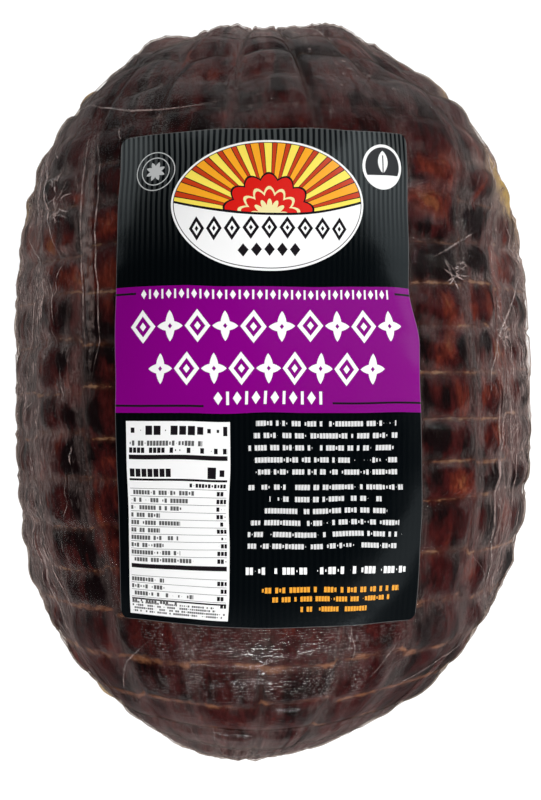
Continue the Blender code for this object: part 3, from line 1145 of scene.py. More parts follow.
def start_piece(name):
    """Names the primitive that was just added."""
    piece = bpy.context.object
    piece.name = name
    piece.data.name = name
    return piece


def move_points(piece, points):
    """Puts the piece's points at new places."""
    piece.data.vertices.foreach_set("co", np.asarray(points, dtype=np.float32).ravel())
    piece.data.update()


def points_of(piece):
    """The places of the piece's points."""
    flat = np.empty(len(piece.data.vertices) * 3, dtype=np.float32)
    piece.data.vertices.foreach_get("co", flat)
    return flat.reshape(-1, 3).astype(float)


def store_values(piece, name, values):
    """Keeps one number for each point, for the materials to read."""
    kept = piece.data.attributes.new(name, "FLOAT", "POINT")
    kept.data.foreach_set("value", np.asarray(values, dtype=np.float32).ravel())


def store_map(piece, places, name=None):
    """Keeps two numbers for each point in the piece's UV map, or in a new one of that name."""
    kept_map = piece.data.uv_layers.new(name=name) if name else piece.data.uv_layers.active
    corner_points = np.empty(len(piece.data.loops), dtype=np.int32)
    piece.data.loops.foreach_get("vertex_index", corner_points)
    kept = places[corner_points].astype(np.float32)
    kept_map.data.foreach_set("uv", kept.ravel())


def add_skin(name):
    """A flat sheet of net cells, to be rolled round the ham, with each point's columns and rows.

    Its second UV map holds the columns and rows as they count from the marks.
    """
    deselect_all()
    bpy.ops.mesh.primitive_grid_add(
        x_subdivisions=SKIN_STEPS[0],
        y_subdivisions=SKIN_STEPS[1],
        size=1.0,
        calc_uvs=True,
        location=(0, 0, 0),
    )
    piece = start_piece(name)
    sheet = points_of(piece)
    columns = sheet[:, 0] * COLUMNS
    rows = (sheet[:, 1] + 0.5) * ROWS
    store_map(piece, np.stack(unsettled(columns, rows), axis=1), "cells")
    return piece, columns, rows


def roll_up(piece, points):
    """Rolls the sheet round the ham. Its edges are merged under the belly and in one point at each end."""
    move_points(piece, points)
    bpy.ops.object.mode_set(mode="EDIT")
    bpy.ops.mesh.select_all(action="SELECT")
    bpy.ops.mesh.remove_doubles(threshold=MERGE_DISTANCE)
    bpy.ops.object.mode_set(mode="OBJECT")


def add_fold_bar():
    """A thin straight bar with closed ends and a ring of points at every station, to be bent into folds."""
    deselect_all()
    bpy.ops.mesh.primitive_cylinder_add(
        vertices=6, radius=0.5, depth=1.0, end_fill_type="NGON", location=(0, 0, 0)
    )
    piece = start_piece("fold_bar")
    bpy.context.tool_settings.mesh_select_mode = (False, True, False)
    bpy.ops.object.mode_set(mode="EDIT")
    bpy.ops.mesh.select_all(action="DESELECT")
    bpy.ops.object.mode_set(mode="OBJECT")
    ends = points_of(piece)
    for edge in piece.data.edges:
        first, last = edge.vertices
        edge.select = bool(abs(ends[first, 2] - ends[last, 2]) > 0.5)
    bpy.ops.object.mode_set(mode="EDIT")
    bpy.ops.mesh.subdivide(number_cuts=FOLD_STATIONS - 2)
    bpy.ops.object.mode_set(mode="OBJECT")
    return piece


def smooth_all(piece):
    """Has the piece selected alone, and all its faces shade smoothly."""
    deselect_all()
    piece.select_set(True)
    bpy.context.view_layer.objects.active = piece
    bpy.ops.object.shade_smooth()


def apply_modifier(piece, name):
    """Makes what the modifier gives the piece's own mesh."""
    bpy.context.view_layer.objects.active = piece
    bpy.ops.object.modifier_apply(modifier=name)


def finish_piece(piece, finish, node):
    """Gives the piece its material, lets it ride on the part and has it stand for its solid."""
    piece.data.materials.clear()
    piece.data.materials.append(finish)
    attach(piece, "root")
    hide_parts(node)


# ---------------------------------------------------------------- materials


class Finish:
    """The finish of a material or of the room. Its methods add a node and give back that node's output."""

    def __init__(self, owner):
        owner.use_nodes = True
        self.owner = owner
        self.tree = owner.node_tree
        self.tree.nodes.clear()

    def put(self, socket, given):
        """Joins another node's output to a socket, or sets the socket itself to a plain value."""
        if isinstance(given, bpy.types.NodeSocket):
            self.tree.links.new(given, socket)
        elif hasattr(given, "__len__") and socket.type == "RGBA":
            socket.default_value = (*tuple(given)[:3], 1.0)
        else:
            socket.default_value = given

    def node(self, kind, inputs=None, output=0, **settings):
        """Adds a node, with its settings, and gives each input a value or another node's output."""
        made = self.tree.nodes.new("ShaderNode" + kind)
        for setting, value in settings.items():
            setattr(made, setting, value)
        for key, given in (inputs or {}).items():
            self.put(made.inputs[key], given)
        return made.outputs[output]

    def maths(self, operation, *given):
        """One operation on plain numbers."""
        return self.node("Math", dict(enumerate(given)), operation=operation)

    def add(self, *given):
        """The sum of two numbers."""
        return self.maths("ADD", *given)

    def times(self, *given):
        """The product of two numbers."""
        return self.maths("MULTIPLY", *given)

    def fade(self, value, low, high, start=0.0, end=1.0):
        """start below low, end above high, and a smooth change between them."""
        inputs = {"Value": value, "From Min": low, "From Max": high, "To Min": start, "To Max": end}
        return self.node("MapRange", inputs, interpolation_type="SMOOTHSTEP")

    def mix(self, share, under, over, blend="MIX"):
        """under where share is 0 and over where it is 1."""
        inputs = {0: share, 6: under, 7: over}
        return self.node("Mix", inputs, output=2, data_type="RGBA", blend_type=blend)

    def noise(self, vector, scale, detail=2.0, roughness=0.5, warp=0.0):
        """Noise about 0.5, with so many features to the metre as scale says."""
        inputs = {
            "Vector": vector,
            "Scale": scale,
            "Detail": detail,
            "Roughness": roughness,
            "Distortion": warp,
        }
        return self.node("TexNoise", inputs)

    def vector(self, operation, *given):
        """One operation on vectors."""
        return self.node("VectorMath", dict(enumerate(given)), operation=operation)

    def length(self, vector):
        """How long a vector is."""
        return self.node("VectorMath", {0: vector}, output=1, operation="LENGTH")

    def dot(self, vector, other):
        """The dot product of two vectors."""
        return self.node("VectorMath", {0: vector, 1: other}, output=1, operation="DOT_PRODUCT")

    def stretched(self, vector, scale):
        """A vector with each of its parts times its own scale."""
        return self.vector("MULTIPLY", vector, scale)

    def split(self, vector, parts=(0, 1)):
        """Two parts of a vector, as a rule the first two."""
        outputs = self.node("SeparateXYZ", {0: vector}).node.outputs
        return outputs[parts[0]], outputs[parts[1]]

    def places(self):
        """Places on the piece in metres."""
        return self.node("TexCoord", output=3)

    def cell_places(self):
        """Columns and rows of a skin."""
        return self.split(self.node("UVMap", uv_map="cells"))

    def stored(self, name):
        """The number that store_values kept for each point under this name."""
        return self.node("Attribute", output=2, attribute_name=name)

    def bump(self, height, distance, strength=1.0, normal=None):
        """The direction of a surface that a height raises by up to distance."""
        inputs = {"Height": height, "Distance": distance, "Strength": strength}
        if normal is not None:
            inputs["Normal"] = normal
        return self.node("Bump", inputs)

    def end(self, shader, output="ShaderNodeOutputMaterial"):
        """Has the owner show this shader, and gives back the owner."""
        self.put(self.tree.nodes.new(output).inputs["Surface"], shader)
        return self.owner


def rolled_places(finish):
    """Places on a drum as thick as the ham, whose lines along the ham run together at both ends."""
    columns, rows = finish.cell_places()
    turn = finish.times(columns, 2 * math.pi / COLUMNS)
    x = finish.times(finish.maths("COSINE", turn), MEAN_RADIUS)
    y = finish.times(finish.maths("SINE", turn), MEAN_RADIUS)
    return finish.node("CombineXYZ", {0: x, 1: y, 2: finish.times(rows, LENGTH / ROWS)})


def scattered(finish, columns, rows, salt):
    """A number between 0 and 1 for each cell, drawn at random."""
    column = finish.maths("FLOOR", columns)
    row = finish.maths("FLOOR", rows)
    cell = finish.node("CombineXYZ", {0: column, 1: row, 2: salt})
    return finish.node("TexWhiteNoise", {"Vector": cell}, noise_dimensions="3D")


def meat_material(colours):
    """Smoked crust: dark clouds and fibres, blocks that took the smoke unevenly, and the marks of the net."""
    finish = Finish(bpy.data.materials.new("smoked_meat"))
    places = finish.places()
    columns, rows = finish.cell_places()
    from_column = finish.maths("PINGPONG", columns, 0.5)
    rolled = rolled_places(finish)
    along = finish.stretched(rolled, (1.0, 1.0, 0.7))
    cloud = finish.noise(along, 78.0, detail=3.0, roughness=0.55, warp=0.5)
    patch = finish.noise(places, 30.0, detail=1.0)
    along = finish.stretched(places, (1.0, 0.45, 1.0))
    fibre = finish.noise(along, 640.0, detail=3.0, roughness=0.6)
    # Each block took the smoke in its own way
    tone = scattered(finish, columns, rows, 3.0)
    plainer = finish.fade(rows, *PLAINER_START, 0.55, 1.0)
    plainer = finish.times(plainer, finish.fade(rows, *PLAINER_END, 1.0, 0.7))
    warmth = finish.add(finish.times(cloud, 3.2), finish.times(tone, 0.30))
    warmth = finish.maths("MULTIPLY_ADD", patch, 1.2, finish.add(warmth, -2.42))
    warmth = finish.maths("MULTIPLY_ADD", warmth, plainer, finish.stored("contact"))
    warmth = finish.maths("MULTIPLY_ADD", fibre, 0.36, finish.add(warmth, -0.18))
    skin = finish.mix(finish.fade(warmth, -0.40, 0.20), colours.dark, colours.warm)
    skin = finish.mix(finish.fade(warmth, 0.15, 0.65), skin, colours.bright)
    skin = finish.mix(finish.fade(warmth, 0.70, 1.10), skin, colours.orange)
    fibres = finish.fade(fibre, 0.35, 0.65, 0.76, 1.24)
    grey = finish.node("CombineColor", {0: fibres, 1: fibres, 2: fibres})
    skin = finish.mix(1.0, skin, grey, "MULTIPLY")
    wander = finish.noise(places, 420.0, detail=2.0)
    # Joints between the columns, dark red and narrow
    off_joint = finish.maths("MULTIPLY_ADD", wander, 0.05, from_column)
    skin = finish.mix(finish.fade(off_joint, 0.030, 0.060, 0.7, 0.0), skin, JOINT_RED)
    # Pale broken lines where the cords of the rows lay, each stretch with its own height and strength
    draw = scattered(finish, columns, finish.add(rows, 0.5), 7.0)
    from_row = finish.maths("MULTIPLY_ADD", draw, 0.12, finish.add(rows, -0.06))
    from_row = finish.maths("PINGPONG", from_row, 0.5)
    ragged = finish.stretched(places, (0.6, 1.0, 0.6))
    break_up = finish.noise(ragged, 170.0, detail=4.0, roughness=0.75)
    off_line = finish.add(from_row, finish.maths("MULTIPLY_ADD", wander, 0.12, -0.06))
    reach = finish.fade(rows, *WIDER_CORDS, 0.080, 0.036)
    reach = finish.times(reach, finish.fade(break_up, 0.40, 0.62, 0.45, 1.5))
    in_line = finish.fade(off_line, 0.004, reach, 1.0, 0.0)
    to_plain_end = finish.fade(rows, *CORDS_LOST, 1.0, 0.10)
    strength = finish.maths("MULTIPLY_ADD", draw, 0.22, break_up)
    pale = finish.times(in_line, finish.fade(strength, 0.54, 0.70))
    pale = finish.times(pale, to_plain_end)
    beside = finish.times(finish.fade(off_line, 0.02, 0.13, 0.45, 0.0), to_plain_end)
    beside = finish.times(beside, finish.fade(break_up, 0.42, 0.58, 0.3, 1.2))
    skin = finish.mix(beside, skin, STAIN_BROWN)
    cord = finish.mix(finish.fade(rows, *BROWN_CORDS), PLAIN_END_CORD, colours.cord_mark)
    cord = finish.mix(finish.fade(break_up, 0.48, 0.64), FAINT_CORD, cord)
    skin = finish.mix(finish.times(pale, 0.8), skin, cord)
    relief = finish.bump(finish.add(fibre, finish.times(cloud, 2.0)), 0.0006, 0.6)
    shader = finish.node(
        "BsdfPrincipled",
        {
            "Base Color": skin,
            "Roughness": 0.55,
            "Specular IOR Level": 0.02,
            "Normal": relief,
        },
    )
    return finish.end(shader)


def film_material(sizes):
    """Clear film, milky where it stands off the meat, with threads, a weave, amber juice and a thin shine,
    and painted glints on the weave's knots and on flecks at the gathered end.
    """
    finish = Finish(bpy.data.materials.new("clear_film"))
    places = finish.places()
    columns, rows = finish.cell_places()
    from_column = finish.maths("PINGPONG", columns, 0.5)
    from_row = finish.maths("PINGPONG", rows, 0.5)
    loose = finish.stored("looseness")
    rolled = rolled_places(finish)
    along = finish.stretched(rolled, (1.0, 1.0, 0.6))
    cloud = finish.noise(along, 88.0, detail=4.0, roughness=0.6, warp=0.5)
    along = finish.stretched(rolled, (1.0, 1.0, 0.24))
    streaks = finish.noise(along, 420.0, detail=4.0, roughness=0.70, warp=2.2)
    speckle = finish.noise(places, 1300.0, detail=2.0)
    # Clear where it is sucked on to the middle of a block, milky over the marks and where it is loose
    tone = scattered(finish, columns, rows, 11.0)
    off_block = finish.fade(finish.times(from_column, from_row), 0.01, 0.11, 0.22, 0.0)
    over_column = finish.fade(from_column, 0.04, 0.17, 0.16, 0.0)
    over_marks = finish.add(off_block, over_column)
    over_marks = finish.times(over_marks, finish.fade(rows, *CLEAR_MARKS_END, 1.0, 0.15))
    over_marks = finish.times(over_marks, finish.fade(rows, *CLEAR_MARKS_START, 0.25, 1.0))
    milky = finish.add(finish.maths("MULTIPLY_ADD", loose, 0.22, cloud), over_marks)
    milky = finish.add(milky, finish.fade(rows, *MILKY_END, 0.0, 0.22))
    milky = finish.add(milky, finish.fade(rows, *MILKY_START, 0.26, 0.0))
    milky = finish.maths("MULTIPLY_ADD", tone, 0.12, milky)
    milky = finish.maths("MULTIPLY_ADD", finish.stored("contact"), -0.22, milky)
    haze = finish.fade(milky, 0.60, 0.90)
    haze = finish.times(haze, finish.maths("MULTIPLY_ADD", loose, 0.86, 0.26))
    haze = finish.times(haze, finish.fade(streaks, 0.40, 0.60, 0.48, 1.52))
    haze = finish.times(haze, finish.fade(speckle, 0.30, 0.70, 0.60, 1.40))
    # Threads: creases in the film, thin and light, along the ham
    crease = finish.noise(finish.stretched(rolled, (1.0, 1.0, 0.22)), 300.0, detail=2.0, warp=1.4)
    thread = finish.maths("ABSOLUTE", finish.add(crease, -0.5))
    thread = finish.fade(thread, 0.003, 0.015, 1.0, 0.0)
    broken = finish.fade(finish.add(cloud, finish.times(streaks, 0.5)), 0.72, 0.86)
    wisp = finish.times(thread, broken)
    haze = finish.add(haze, finish.times(wisp, finish.maths("MULTIPLY_ADD", loose, 3.6, 0.10)))
    haze = finish.maths("MULTIPLY_ADD", haze, sizes.haze_strength, 0.001)
    # The fine weave that the casing left, broken up into short knots: their bump and gloss are real, and
    # their light share of the haze is painted glints
    weave = finish.node(
        "TexWave",
        {"Vector": places, "Scale": 300.0, "Distortion": 5.0, "Detail": 2.0, "Detail Scale": 1.6},
        output=1,
        wave_type="BANDS",
        bands_direction="Y",
    )
    knots = finish.noise(finish.stretched(places, (0.65, 1.0, 1.0)), 1100.0, detail=1.0)
    knots_and_painted_glints = finish.times(finish.fade(weave, 0.40, 0.90), finish.fade(knots, 0.42, 0.58))
    knots_and_painted_glints = finish.times(knots_and_painted_glints, finish.times(finish.stored("weave_glints"), finish.fade(cloud, 0.42, 0.54)))
    # Painted glints: the knots add light haze colour in the band where the near-end lamp's highlight falls
    haze = finish.maths("MULTIPLY_ADD", knots_and_painted_glints, 0.13, haze)
    # Painted glints: light flecks of haze colour on the gathered end's lumps
    painted_glint_fleck = finish.noise(finish.stretched(places, (0.45, 1.0, 1.0)), 560.0, detail=3.0, roughness=0.6)
    painted_glint_fleck = finish.times(finish.fade(painted_glint_fleck, 0.58, 0.70), finish.fade(cloud, 0.50, 0.60))
    at_end = finish.fade(rows, *GLINT_FLECKS_START, 0.0, 0.26)
    at_end = finish.times(at_end, finish.fade(rows, *GLINT_FLECKS_END, 1.0, 0.0))
    haze = finish.maths("MULTIPLY_ADD", painted_glint_fleck, at_end, haze)
    amber = finish.times(finish.stored("amber"), finish.fade(cloud, 0.30, 0.50))
    haze = finish.add(haze, finish.times(amber, 0.62))
    colour = finish.mix(amber, sizes.haze, AMBER)
    # Relief: the knots of the weave, which sparkle, and the streaks
    relief = finish.bump(knots_and_painted_glints, 0.00030, 0.5)
    relief = finish.bump(streaks, 0.0007, finish.fade(rows, *SHINIER_END, 0.3, 0.7), relief)
    cloudy = finish.node("BsdfDiffuse", {"Color": colour, "Normal": relief})
    # Edge on, the light passes through more of the film and comes out brown
    edge_on = finish.node("LayerWeight", {"Blend": 0.5}, output=1)
    tint = finish.mix(finish.fade(edge_on, 0.55, 0.97), CLEAR, EDGE_BROWN)
    through = finish.node("BsdfTransparent", {"Color": tint})
    body = finish.node("MixShader", {0: haze, 1: through, 2: cloudy})
    shine = finish.node("BsdfGlossy", {"Color": WHITE_SHINE, "Roughness": 0.08, "Normal": relief})
    facing = finish.node("Fresnel", {"IOR": 1.20, "Normal": relief})
    facing = finish.maths("MINIMUM", facing, 0.026)
    plain = finish.fade(milky, 0.50, 0.85, 0.38, 0.85)
    plain = finish.add(plain, finish.fade(rows, *SHINIER_END, 0.0, 0.8))
    plain = finish.times(plain, finish.maths("MULTIPLY_ADD", finish.stored("weave_glints"), -0.75, 1.0))
    facing = finish.times(facing, finish.maths("MULTIPLY_ADD", knots_and_painted_glints, 6.5, plain))
    shader = finish.node("MixShader", {0: facing, 1: body, 2: shine})
    return finish.end(shader)


def fold_material(sizes):
    """Doubled film: it holds back more light than the rest."""
    finish = Finish(bpy.data.materials.new("folded_film"))
    shown = finish.stored("shown")
    patchy = finish.noise(finish.places(), 330.0, detail=3.0, roughness=0.6)
    share = finish.times(shown, finish.fade(patchy, 0.40, 0.62, 0.10, 1.0))
    cloudy = finish.node("BsdfDiffuse", {"Color": sizes.haze})
    through = finish.node("BsdfTransparent", {"Color": CLEAR_FOLD})
    body = finish.node("MixShader", {0: finish.times(share, sizes.fold_strength), 1: through, 2: cloudy})
    shine = finish.node("BsdfGlossy", {"Color": WHITE_SHINE, "Roughness": 0.16})
    facing = finish.maths("MINIMUM", finish.node("Fresnel", {"IOR": 1.33}), 0.10)
    shader = finish.node("MixShader", {0: finish.times(facing, shown), 1: body, 2: shine})
    return finish.end(shader)


class Print:
    """Lays flat shapes over one another on the label, in millimetres from its middle."""

    def __init__(self, finish, ground):
        self.finish = finish
        shares = finish.node("UVMap")
        size = (LABEL_WIDTH * 1000, LABEL_LENGTH * 1000, 0.0)
        self.at = finish.vector("MULTIPLY_ADD", shares, size, (-size[0] / 2, -size[1] / 2, 0.0))
        self.x, self.y = finish.split(self.at)
        self.colour = ground

    def paint(self, mask, colour, cover=None):
        """Lays a colour over the print where mask is 1, and where cover is too."""
        share = mask if cover is None else self.finish.times(mask, cover)
        self.colour = self.finish.mix(share, self.colour, colour)

    def between(self, value, low, high):
        """1 where a value lies from low to high."""
        return self.finish.maths("COMPARE", value, (low + high) / 2, (high - low) / 2)

    def box(self, left, right, bottom, top, at=None):
        """1 in a rectangle."""
        x, y = (self.x, self.y) if at is None else self.finish.split(at)
        return self.finish.times(self.between(x, left, right), self.between(y, bottom, top))

    def moved(self, x, y):
        """Places counted from a point of the label."""
        return self.finish.vector("SUBTRACT", self.at, (x, y, 0.0))

    def row(self, start, pitch, count):
        """1 along a row of so many steps."""
        return self.between(self.x, start, start + pitch * count)

    def tiled(self, start, pitch, level):
        """Places within each step of a row of shapes, counted from the middle of the step."""
        from_first = self.moved(start + pitch / 2, level)
        high = (pitch / 2, LABEL_LENGTH * 1000, 1.0)
        low = (-pitch / 2, -LABEL_LENGTH * 1000, -1.0)
        return self.finish.vector("WRAP", from_first, high, low)

    def second_of_two(self, start, pitch):
        """1 in every second step of a row of shapes."""
        place = self.finish.maths("WRAP", self.finish.add(self.x, -start), 2 * pitch, 0.0)
        return self.finish.maths("GREATER_THAN", place, pitch)

    def oval(self, at, half_width, half_height):
        """1 in an upright ellipse."""
        unit = self.finish.vector("MULTIPLY", at, (1 / half_width, 1 / half_height, 0.0))
        return self.finish.maths("LESS_THAN", self.finish.length(unit), 1.0)

    def ring(self, at, outer, inner):
        """1 between two circles."""
        return self.between(self.finish.length(at), inner, outer)

    def lozenge_distance(self, at, half_width, half_height):
        """0 in the middle of a lozenge and 1 on its edge."""
        folded = self.finish.vector("ABSOLUTE", at)
        return self.finish.dot(folded, (1 / half_width, 1 / half_height, 0.0))

    def lozenge(self, at, half_width, half_height):
        """1 in a lozenge."""
        return self.finish.maths("LESS_THAN", self.lozenge_distance(at, half_width, half_height), 1.0)

    def petals(self, at, half_width, half_height):
        """An upright leaf, pointed at both ends."""
        shift = half_width * LEAF_BEND
        reach = math.hypot(shift, half_height)
        wide = half_width + shift
        left = self.oval(self.finish.vector("ADD", at, (shift, 0.0, 0.0)), wide, reach * LEAF_FULLNESS)
        right = self.oval(self.finish.vector("ADD", at, (-shift, 0.0, 0.0)), wide, reach * LEAF_FULLNESS)
        return self.finish.times(left, right)

    def dashes(self, left, right, top, pitch, rows, height, salt, ragged=0.0, from_left=False, step=1.35):
        """Rows of short dashes in uneven groups. Ragged rows end early, each at its own place."""
        finish = self.finish
        start = (-left / step, top / pitch, float(salt))
        grid = finish.vector("MULTIPLY_ADD", self.at, (1 / step, -1 / pitch, 0.0), start)
        cell = finish.vector("FLOOR", grid)
        draw = finish.node("TexWhiteNoise", {"Vector": cell}, noise_dimensions="3D")
        room = finish.node("MapRange", {"Value": draw, "From Min": DASH_DRAWS[0], "From Max": DASH_DRAWS[1]})
        scale = (2 / DASH_FILL, 2 * pitch / height, 0.0)
        middle = (-1 / DASH_FILL, -pitch / height, 0.0)
        part = finish.vector("MULTIPLY_ADD", finish.vector("FRACTION", grid), scale, middle)
        x, y = finish.split(finish.vector("ABSOLUTE", part))
        block = finish.maths("LESS_THAN", finish.maths("MAXIMUM", x, y), room)
        shown = finish.times(block, self.box(left, right, top - pitch * rows, top))
        if not ragged:
            return shown
        own_row = finish.vector("MULTIPLY", cell, (0.0, 1.0, 1.0))
        draw = finish.node("TexWhiteNoise", {"Vector": own_row}, noise_dimensions="3D")
        if from_left:
            reach = finish.maths("MULTIPLY_ADD", draw, -ragged * (right - left), right)
            return finish.times(shown, finish.maths("LESS_THAN", self.x, reach))
        half = finish.maths("MULTIPLY_ADD", draw, -ragged * (right - left) / 2, (right - left) / 2)
        from_middle = finish.maths("ABSOLUTE", finish.add(self.x, -(left + right) / 2))
        return finish.times(shown, finish.maths("LESS_THAN", from_middle, half))


def print_badge(sheet, paper):
    """An oval badge: a fan of rays round a rosette, over a white field with two rows of lozenges."""
    finish = sheet.finish
    at = sheet.moved(*BADGE_PLACE)
    sheet.paint(sheet.oval(at, *BADGE_HALF), paper)
    sheet.paint(sheet.oval(at, *BADGE_LINE_HALF), INK)
    field = sheet.oval(at, *BADGE_FIELD_HALF)
    sheet.paint(field, paper)
    x, y = finish.split(at)
    # The upper field hangs down a little in its middle
    horizon = finish.maths("MULTIPLY_ADD", finish.times(x, x), HORIZON_SAG, HORIZON_LEVEL)
    over = finish.maths("SUBTRACT", y, horizon)
    upper = finish.times(field, finish.maths("GREATER_THAN", over, 0.0))
    sheet.paint(upper, SUN_ORANGE)
    from_foot = finish.vector("ADD", at, (0.0, FAN_FOOT, 0.0))
    foot_x, foot_y = finish.split(from_foot)
    angle = finish.maths("ARCTAN2", foot_y, foot_x)
    ray = finish.maths("PINGPONG", finish.times(angle, RAYS / math.pi), 0.5)
    for ray_edge, colour in zip(RAY_EDGES, (SUN_RED, SUN_YELLOW)):
        sheet.paint(finish.maths("GREATER_THAN", ray, ray_edge), colour, upper)
    lines = [finish.maths("COMPARE", ray, ray_edge, RAY_HALF_LINE) for ray_edge in RAY_EDGES]
    sheet.paint(finish.add(*lines), INK, upper)
    lobe = finish.maths("ABSOLUTE", finish.maths("SINE", finish.times(angle, ROSETTE_LOBES)))
    rosette = finish.maths("MULTIPLY_ADD", lobe, ROSETTE_LOBE_DEPTH, ROSETTE_RADIUS)
    inward = finish.maths("SUBTRACT", rosette, finish.length(from_foot))
    for depth, colour in ROSETTE_RINGS:
        sheet.paint(finish.maths("GREATER_THAN", inward, depth), colour, upper)
    sheet.paint(sheet.between(over, -HORIZON_HALF_LINE, HORIZON_HALF_LINE), INK, field)
    # Lozenges in outline, each with a dot, and a smaller row under them
    tile = sheet.tiled(start=-28.8, pitch=6.5, level=54.0)
    far = sheet.lozenge_distance(tile, half_width=2.9, half_height=4.3)
    row = sheet.row(start=-28.8, pitch=6.5, count=9)
    sheet.paint(finish.maths("COMPARE", far, 0.78, 0.22), INK, row)
    sheet.paint(finish.maths("LESS_THAN", far, 0.24), INK, row)
    small = sheet.lozenge(sheet.tiled(start=-11.0, pitch=4.6, level=45.9), half_width=1.9, half_height=2.4)
    sheet.paint(small, INK, sheet.row(start=-11.0, pitch=4.6, count=5))


def print_seals(sheet, paper):
    """Two small round seals: one of rings round a star, one with a leaf over a white foot."""
    finish = sheet.finish
    at = sheet.moved(*STAR_SEAL_PLACE)
    for outer, inner in STAR_SEAL_RINGS:
        sheet.paint(sheet.ring(at, outer, inner), PALE_GREY)
    x, y = finish.split(at)
    angle = finish.maths("ARCTAN2", y, x)
    point = finish.maths("PINGPONG", finish.times(angle, STAR_POINTS / math.pi), 0.5)
    reach = finish.maths("MULTIPLY_ADD", point, STAR_POINT_LENGTH, STAR_HOLLOW)
    sheet.paint(finish.maths("GREATER_THAN", reach, finish.length(at)), PALE_GREY)
    at = sheet.moved(*LEAF_SEAL_PLACE)
    sheet.paint(sheet.oval(at, LEAF_SEAL_RADIUS, LEAF_SEAL_RADIUS), paper)
    hollow = sheet.oval(at, LEAF_SEAL_HOLLOW, LEAF_SEAL_HOLLOW)
    over_foot = sheet.box(left=-9.0, right=9.0, bottom=LEAF_SEAL_FOOT, top=9.0, at=at)
    sheet.paint(finish.times(hollow, over_foot), INK)
    sheet.paint(sheet.petals(finish.vector("ADD", at, (0.0, -LEAF_LIFT, 0.0)), *LEAF_HALF), paper)
    sheet.paint(sheet.box(left=-0.25, right=0.25, bottom=LEAF_SEAL_FOOT, top=4.4, at=at), INK)


def frieze(sheet, paper, start, pitch, count, level, height, swapped=False):
    """A row of large ornaments: lozenges in outline take turns with pairs of crossed leaves."""
    finish = sheet.finish
    tile = sheet.tiled(start, pitch, level)
    row = sheet.row(start, pitch, count)
    half = height / 2
    wide = pitch * 0.47
    far = sheet.lozenge_distance(tile, wide, half)
    outline = finish.add(finish.maths("COMPARE", far, 0.81, 0.19), finish.maths("LESS_THAN", far, 0.26))
    upright = sheet.petals(tile, wide * 0.36, half)
    turned = finish.node("VectorRotate", {"Vector": tile, "Angle": math.pi / 2})
    across = sheet.petals(turned, half * 0.30, wide)
    cross = finish.maths("MAXIMUM", upright, across)
    cross = finish.times(cross, finish.maths("GREATER_THAN", far, 0.16))
    second = sheet.second_of_two(start, pitch)
    first, last = (cross, outline) if swapped else (outline, cross)
    both = finish.node("Mix", {0: second, 2: first, 3: last}, data_type="FLOAT")
    sheet.paint(both, paper, row)


def small_row(sheet, paper, start, end, pitch, level, height):
    """A row of small upright lozenges with bars between them."""
    tile = sheet.tiled(start, pitch, level)
    bar = sheet.box(-pitch * 0.15, pitch * 0.15, -height / 2, height / 2, tile)
    lozenge = sheet.lozenge(tile, pitch * 0.46, height / 2)
    second = sheet.second_of_two(start, pitch)
    both = sheet.finish.node("Mix", {0: second, 2: lozenge, 3: bar}, data_type="FLOAT")
    sheet.paint(both, paper, sheet.between(sheet.x, start, end))


def print_band(sheet, colours):
    """The wide band with its ornaments and thin dark rules."""
    sheet.paint(sheet.between(sheet.y, BAND_BOTTOM, BAND_TOP), colours.band)
    for left, right, level in BAND_RULES:
        sheet.paint(sheet.box(left, right, level - RULE_HALF, level + RULE_HALF), INK)
    small_row(sheet, colours.paper, start=-46.5, end=47.5, pitch=2.35, level=30.1, height=3.4)
    frieze(sheet, colours.paper, start=-51.0, pitch=10.2, count=10, level=18.6, height=12.0)
    frieze(sheet, colours.paper, start=-44.1, pitch=9.8, count=9, level=3.2, height=12.2, swapped=True)
    small_row(sheet, colours.paper, start=-20.0, end=21.4, pitch=3.45, level=-7.5, height=4.8)


def print_panel(sheet, paper):
    """The white panel: heavy and fine rules, and rows of dashes, long on the left and short on the right."""

    def write(colour, left, right, down, **given):
        sheet.paint(sheet.dashes(left, right, PANEL_TOP - down, **given), colour)

    finish = sheet.finish
    sheet.paint(sheet.box(PANEL_LEFT, PANEL_RIGHT, PANEL_BOTTOM, PANEL_TOP), paper)
    left = PANEL_LEFT + PANEL_MARGIN
    right = PANEL_RIGHT - PANEL_MARGIN
    inner = sheet.between(sheet.x, left, right)
    for down, height in PANEL_RULES:
        rule = sheet.between(sheet.y, PANEL_TOP - down - height / 2, PANEL_TOP - down + height / 2)
        sheet.paint(rule, INK, inner)
    write(INK, left, right, down=1.2, pitch=4.4, rows=1, height=3.4, salt=11, step=3.2)
    write(MID_GREY, left, -24.0, down=6.8, pitch=2.7, rows=1, height=1.9, salt=12, step=1.2)
    write(INK, left, right, down=9.4, pitch=2.7, rows=1, height=2.0, salt=13, step=1.6)
    write(INK, left, -35.0, down=17.3, pitch=3.6, rows=1, height=3.0, salt=15, step=2.4)
    write(INK, -22.4, right, down=16.6, pitch=4.4, rows=1, height=4.2, salt=16, step=3.6)
    write(INK, -28.5, right, down=22.2, pitch=2.6, rows=1, height=1.4, salt=17, step=1.1)
    for down, rows, salt in LISTS:
        lines = {"pitch": LIST_LINE, "rows": rows, "height": 1.6}
        write(MID_GREY, left, -26.0, down, salt=salt, ragged=0.55, from_left=True, step=1.15, **lines)
        write(INK, -18.6, right, down, salt=salt + 40, step=1.3, **lines)
        start = PANEL_TOP - down
        from_line = finish.maths("WRAP", finish.add(sheet.y, -start), LIST_LINE / 2, -LIST_LINE / 2)
        hairline = sheet.between(from_line, -HAIRLINE_HALF, HAIRLINE_HALF)
        in_list = sheet.between(sheet.y, start - LIST_LINE * rows + 0.5, start + 0.2)
        sheet.paint(finish.times(hairline, in_list), MID_GREY, inner)
    foot = {"pitch": 1.17, "rows": 4, "height": 0.75, "ragged": 0.15, "from_left": True, "step": 0.8}
    write(MID_GREY, left, right, down=68.6, salt=21, **foot)


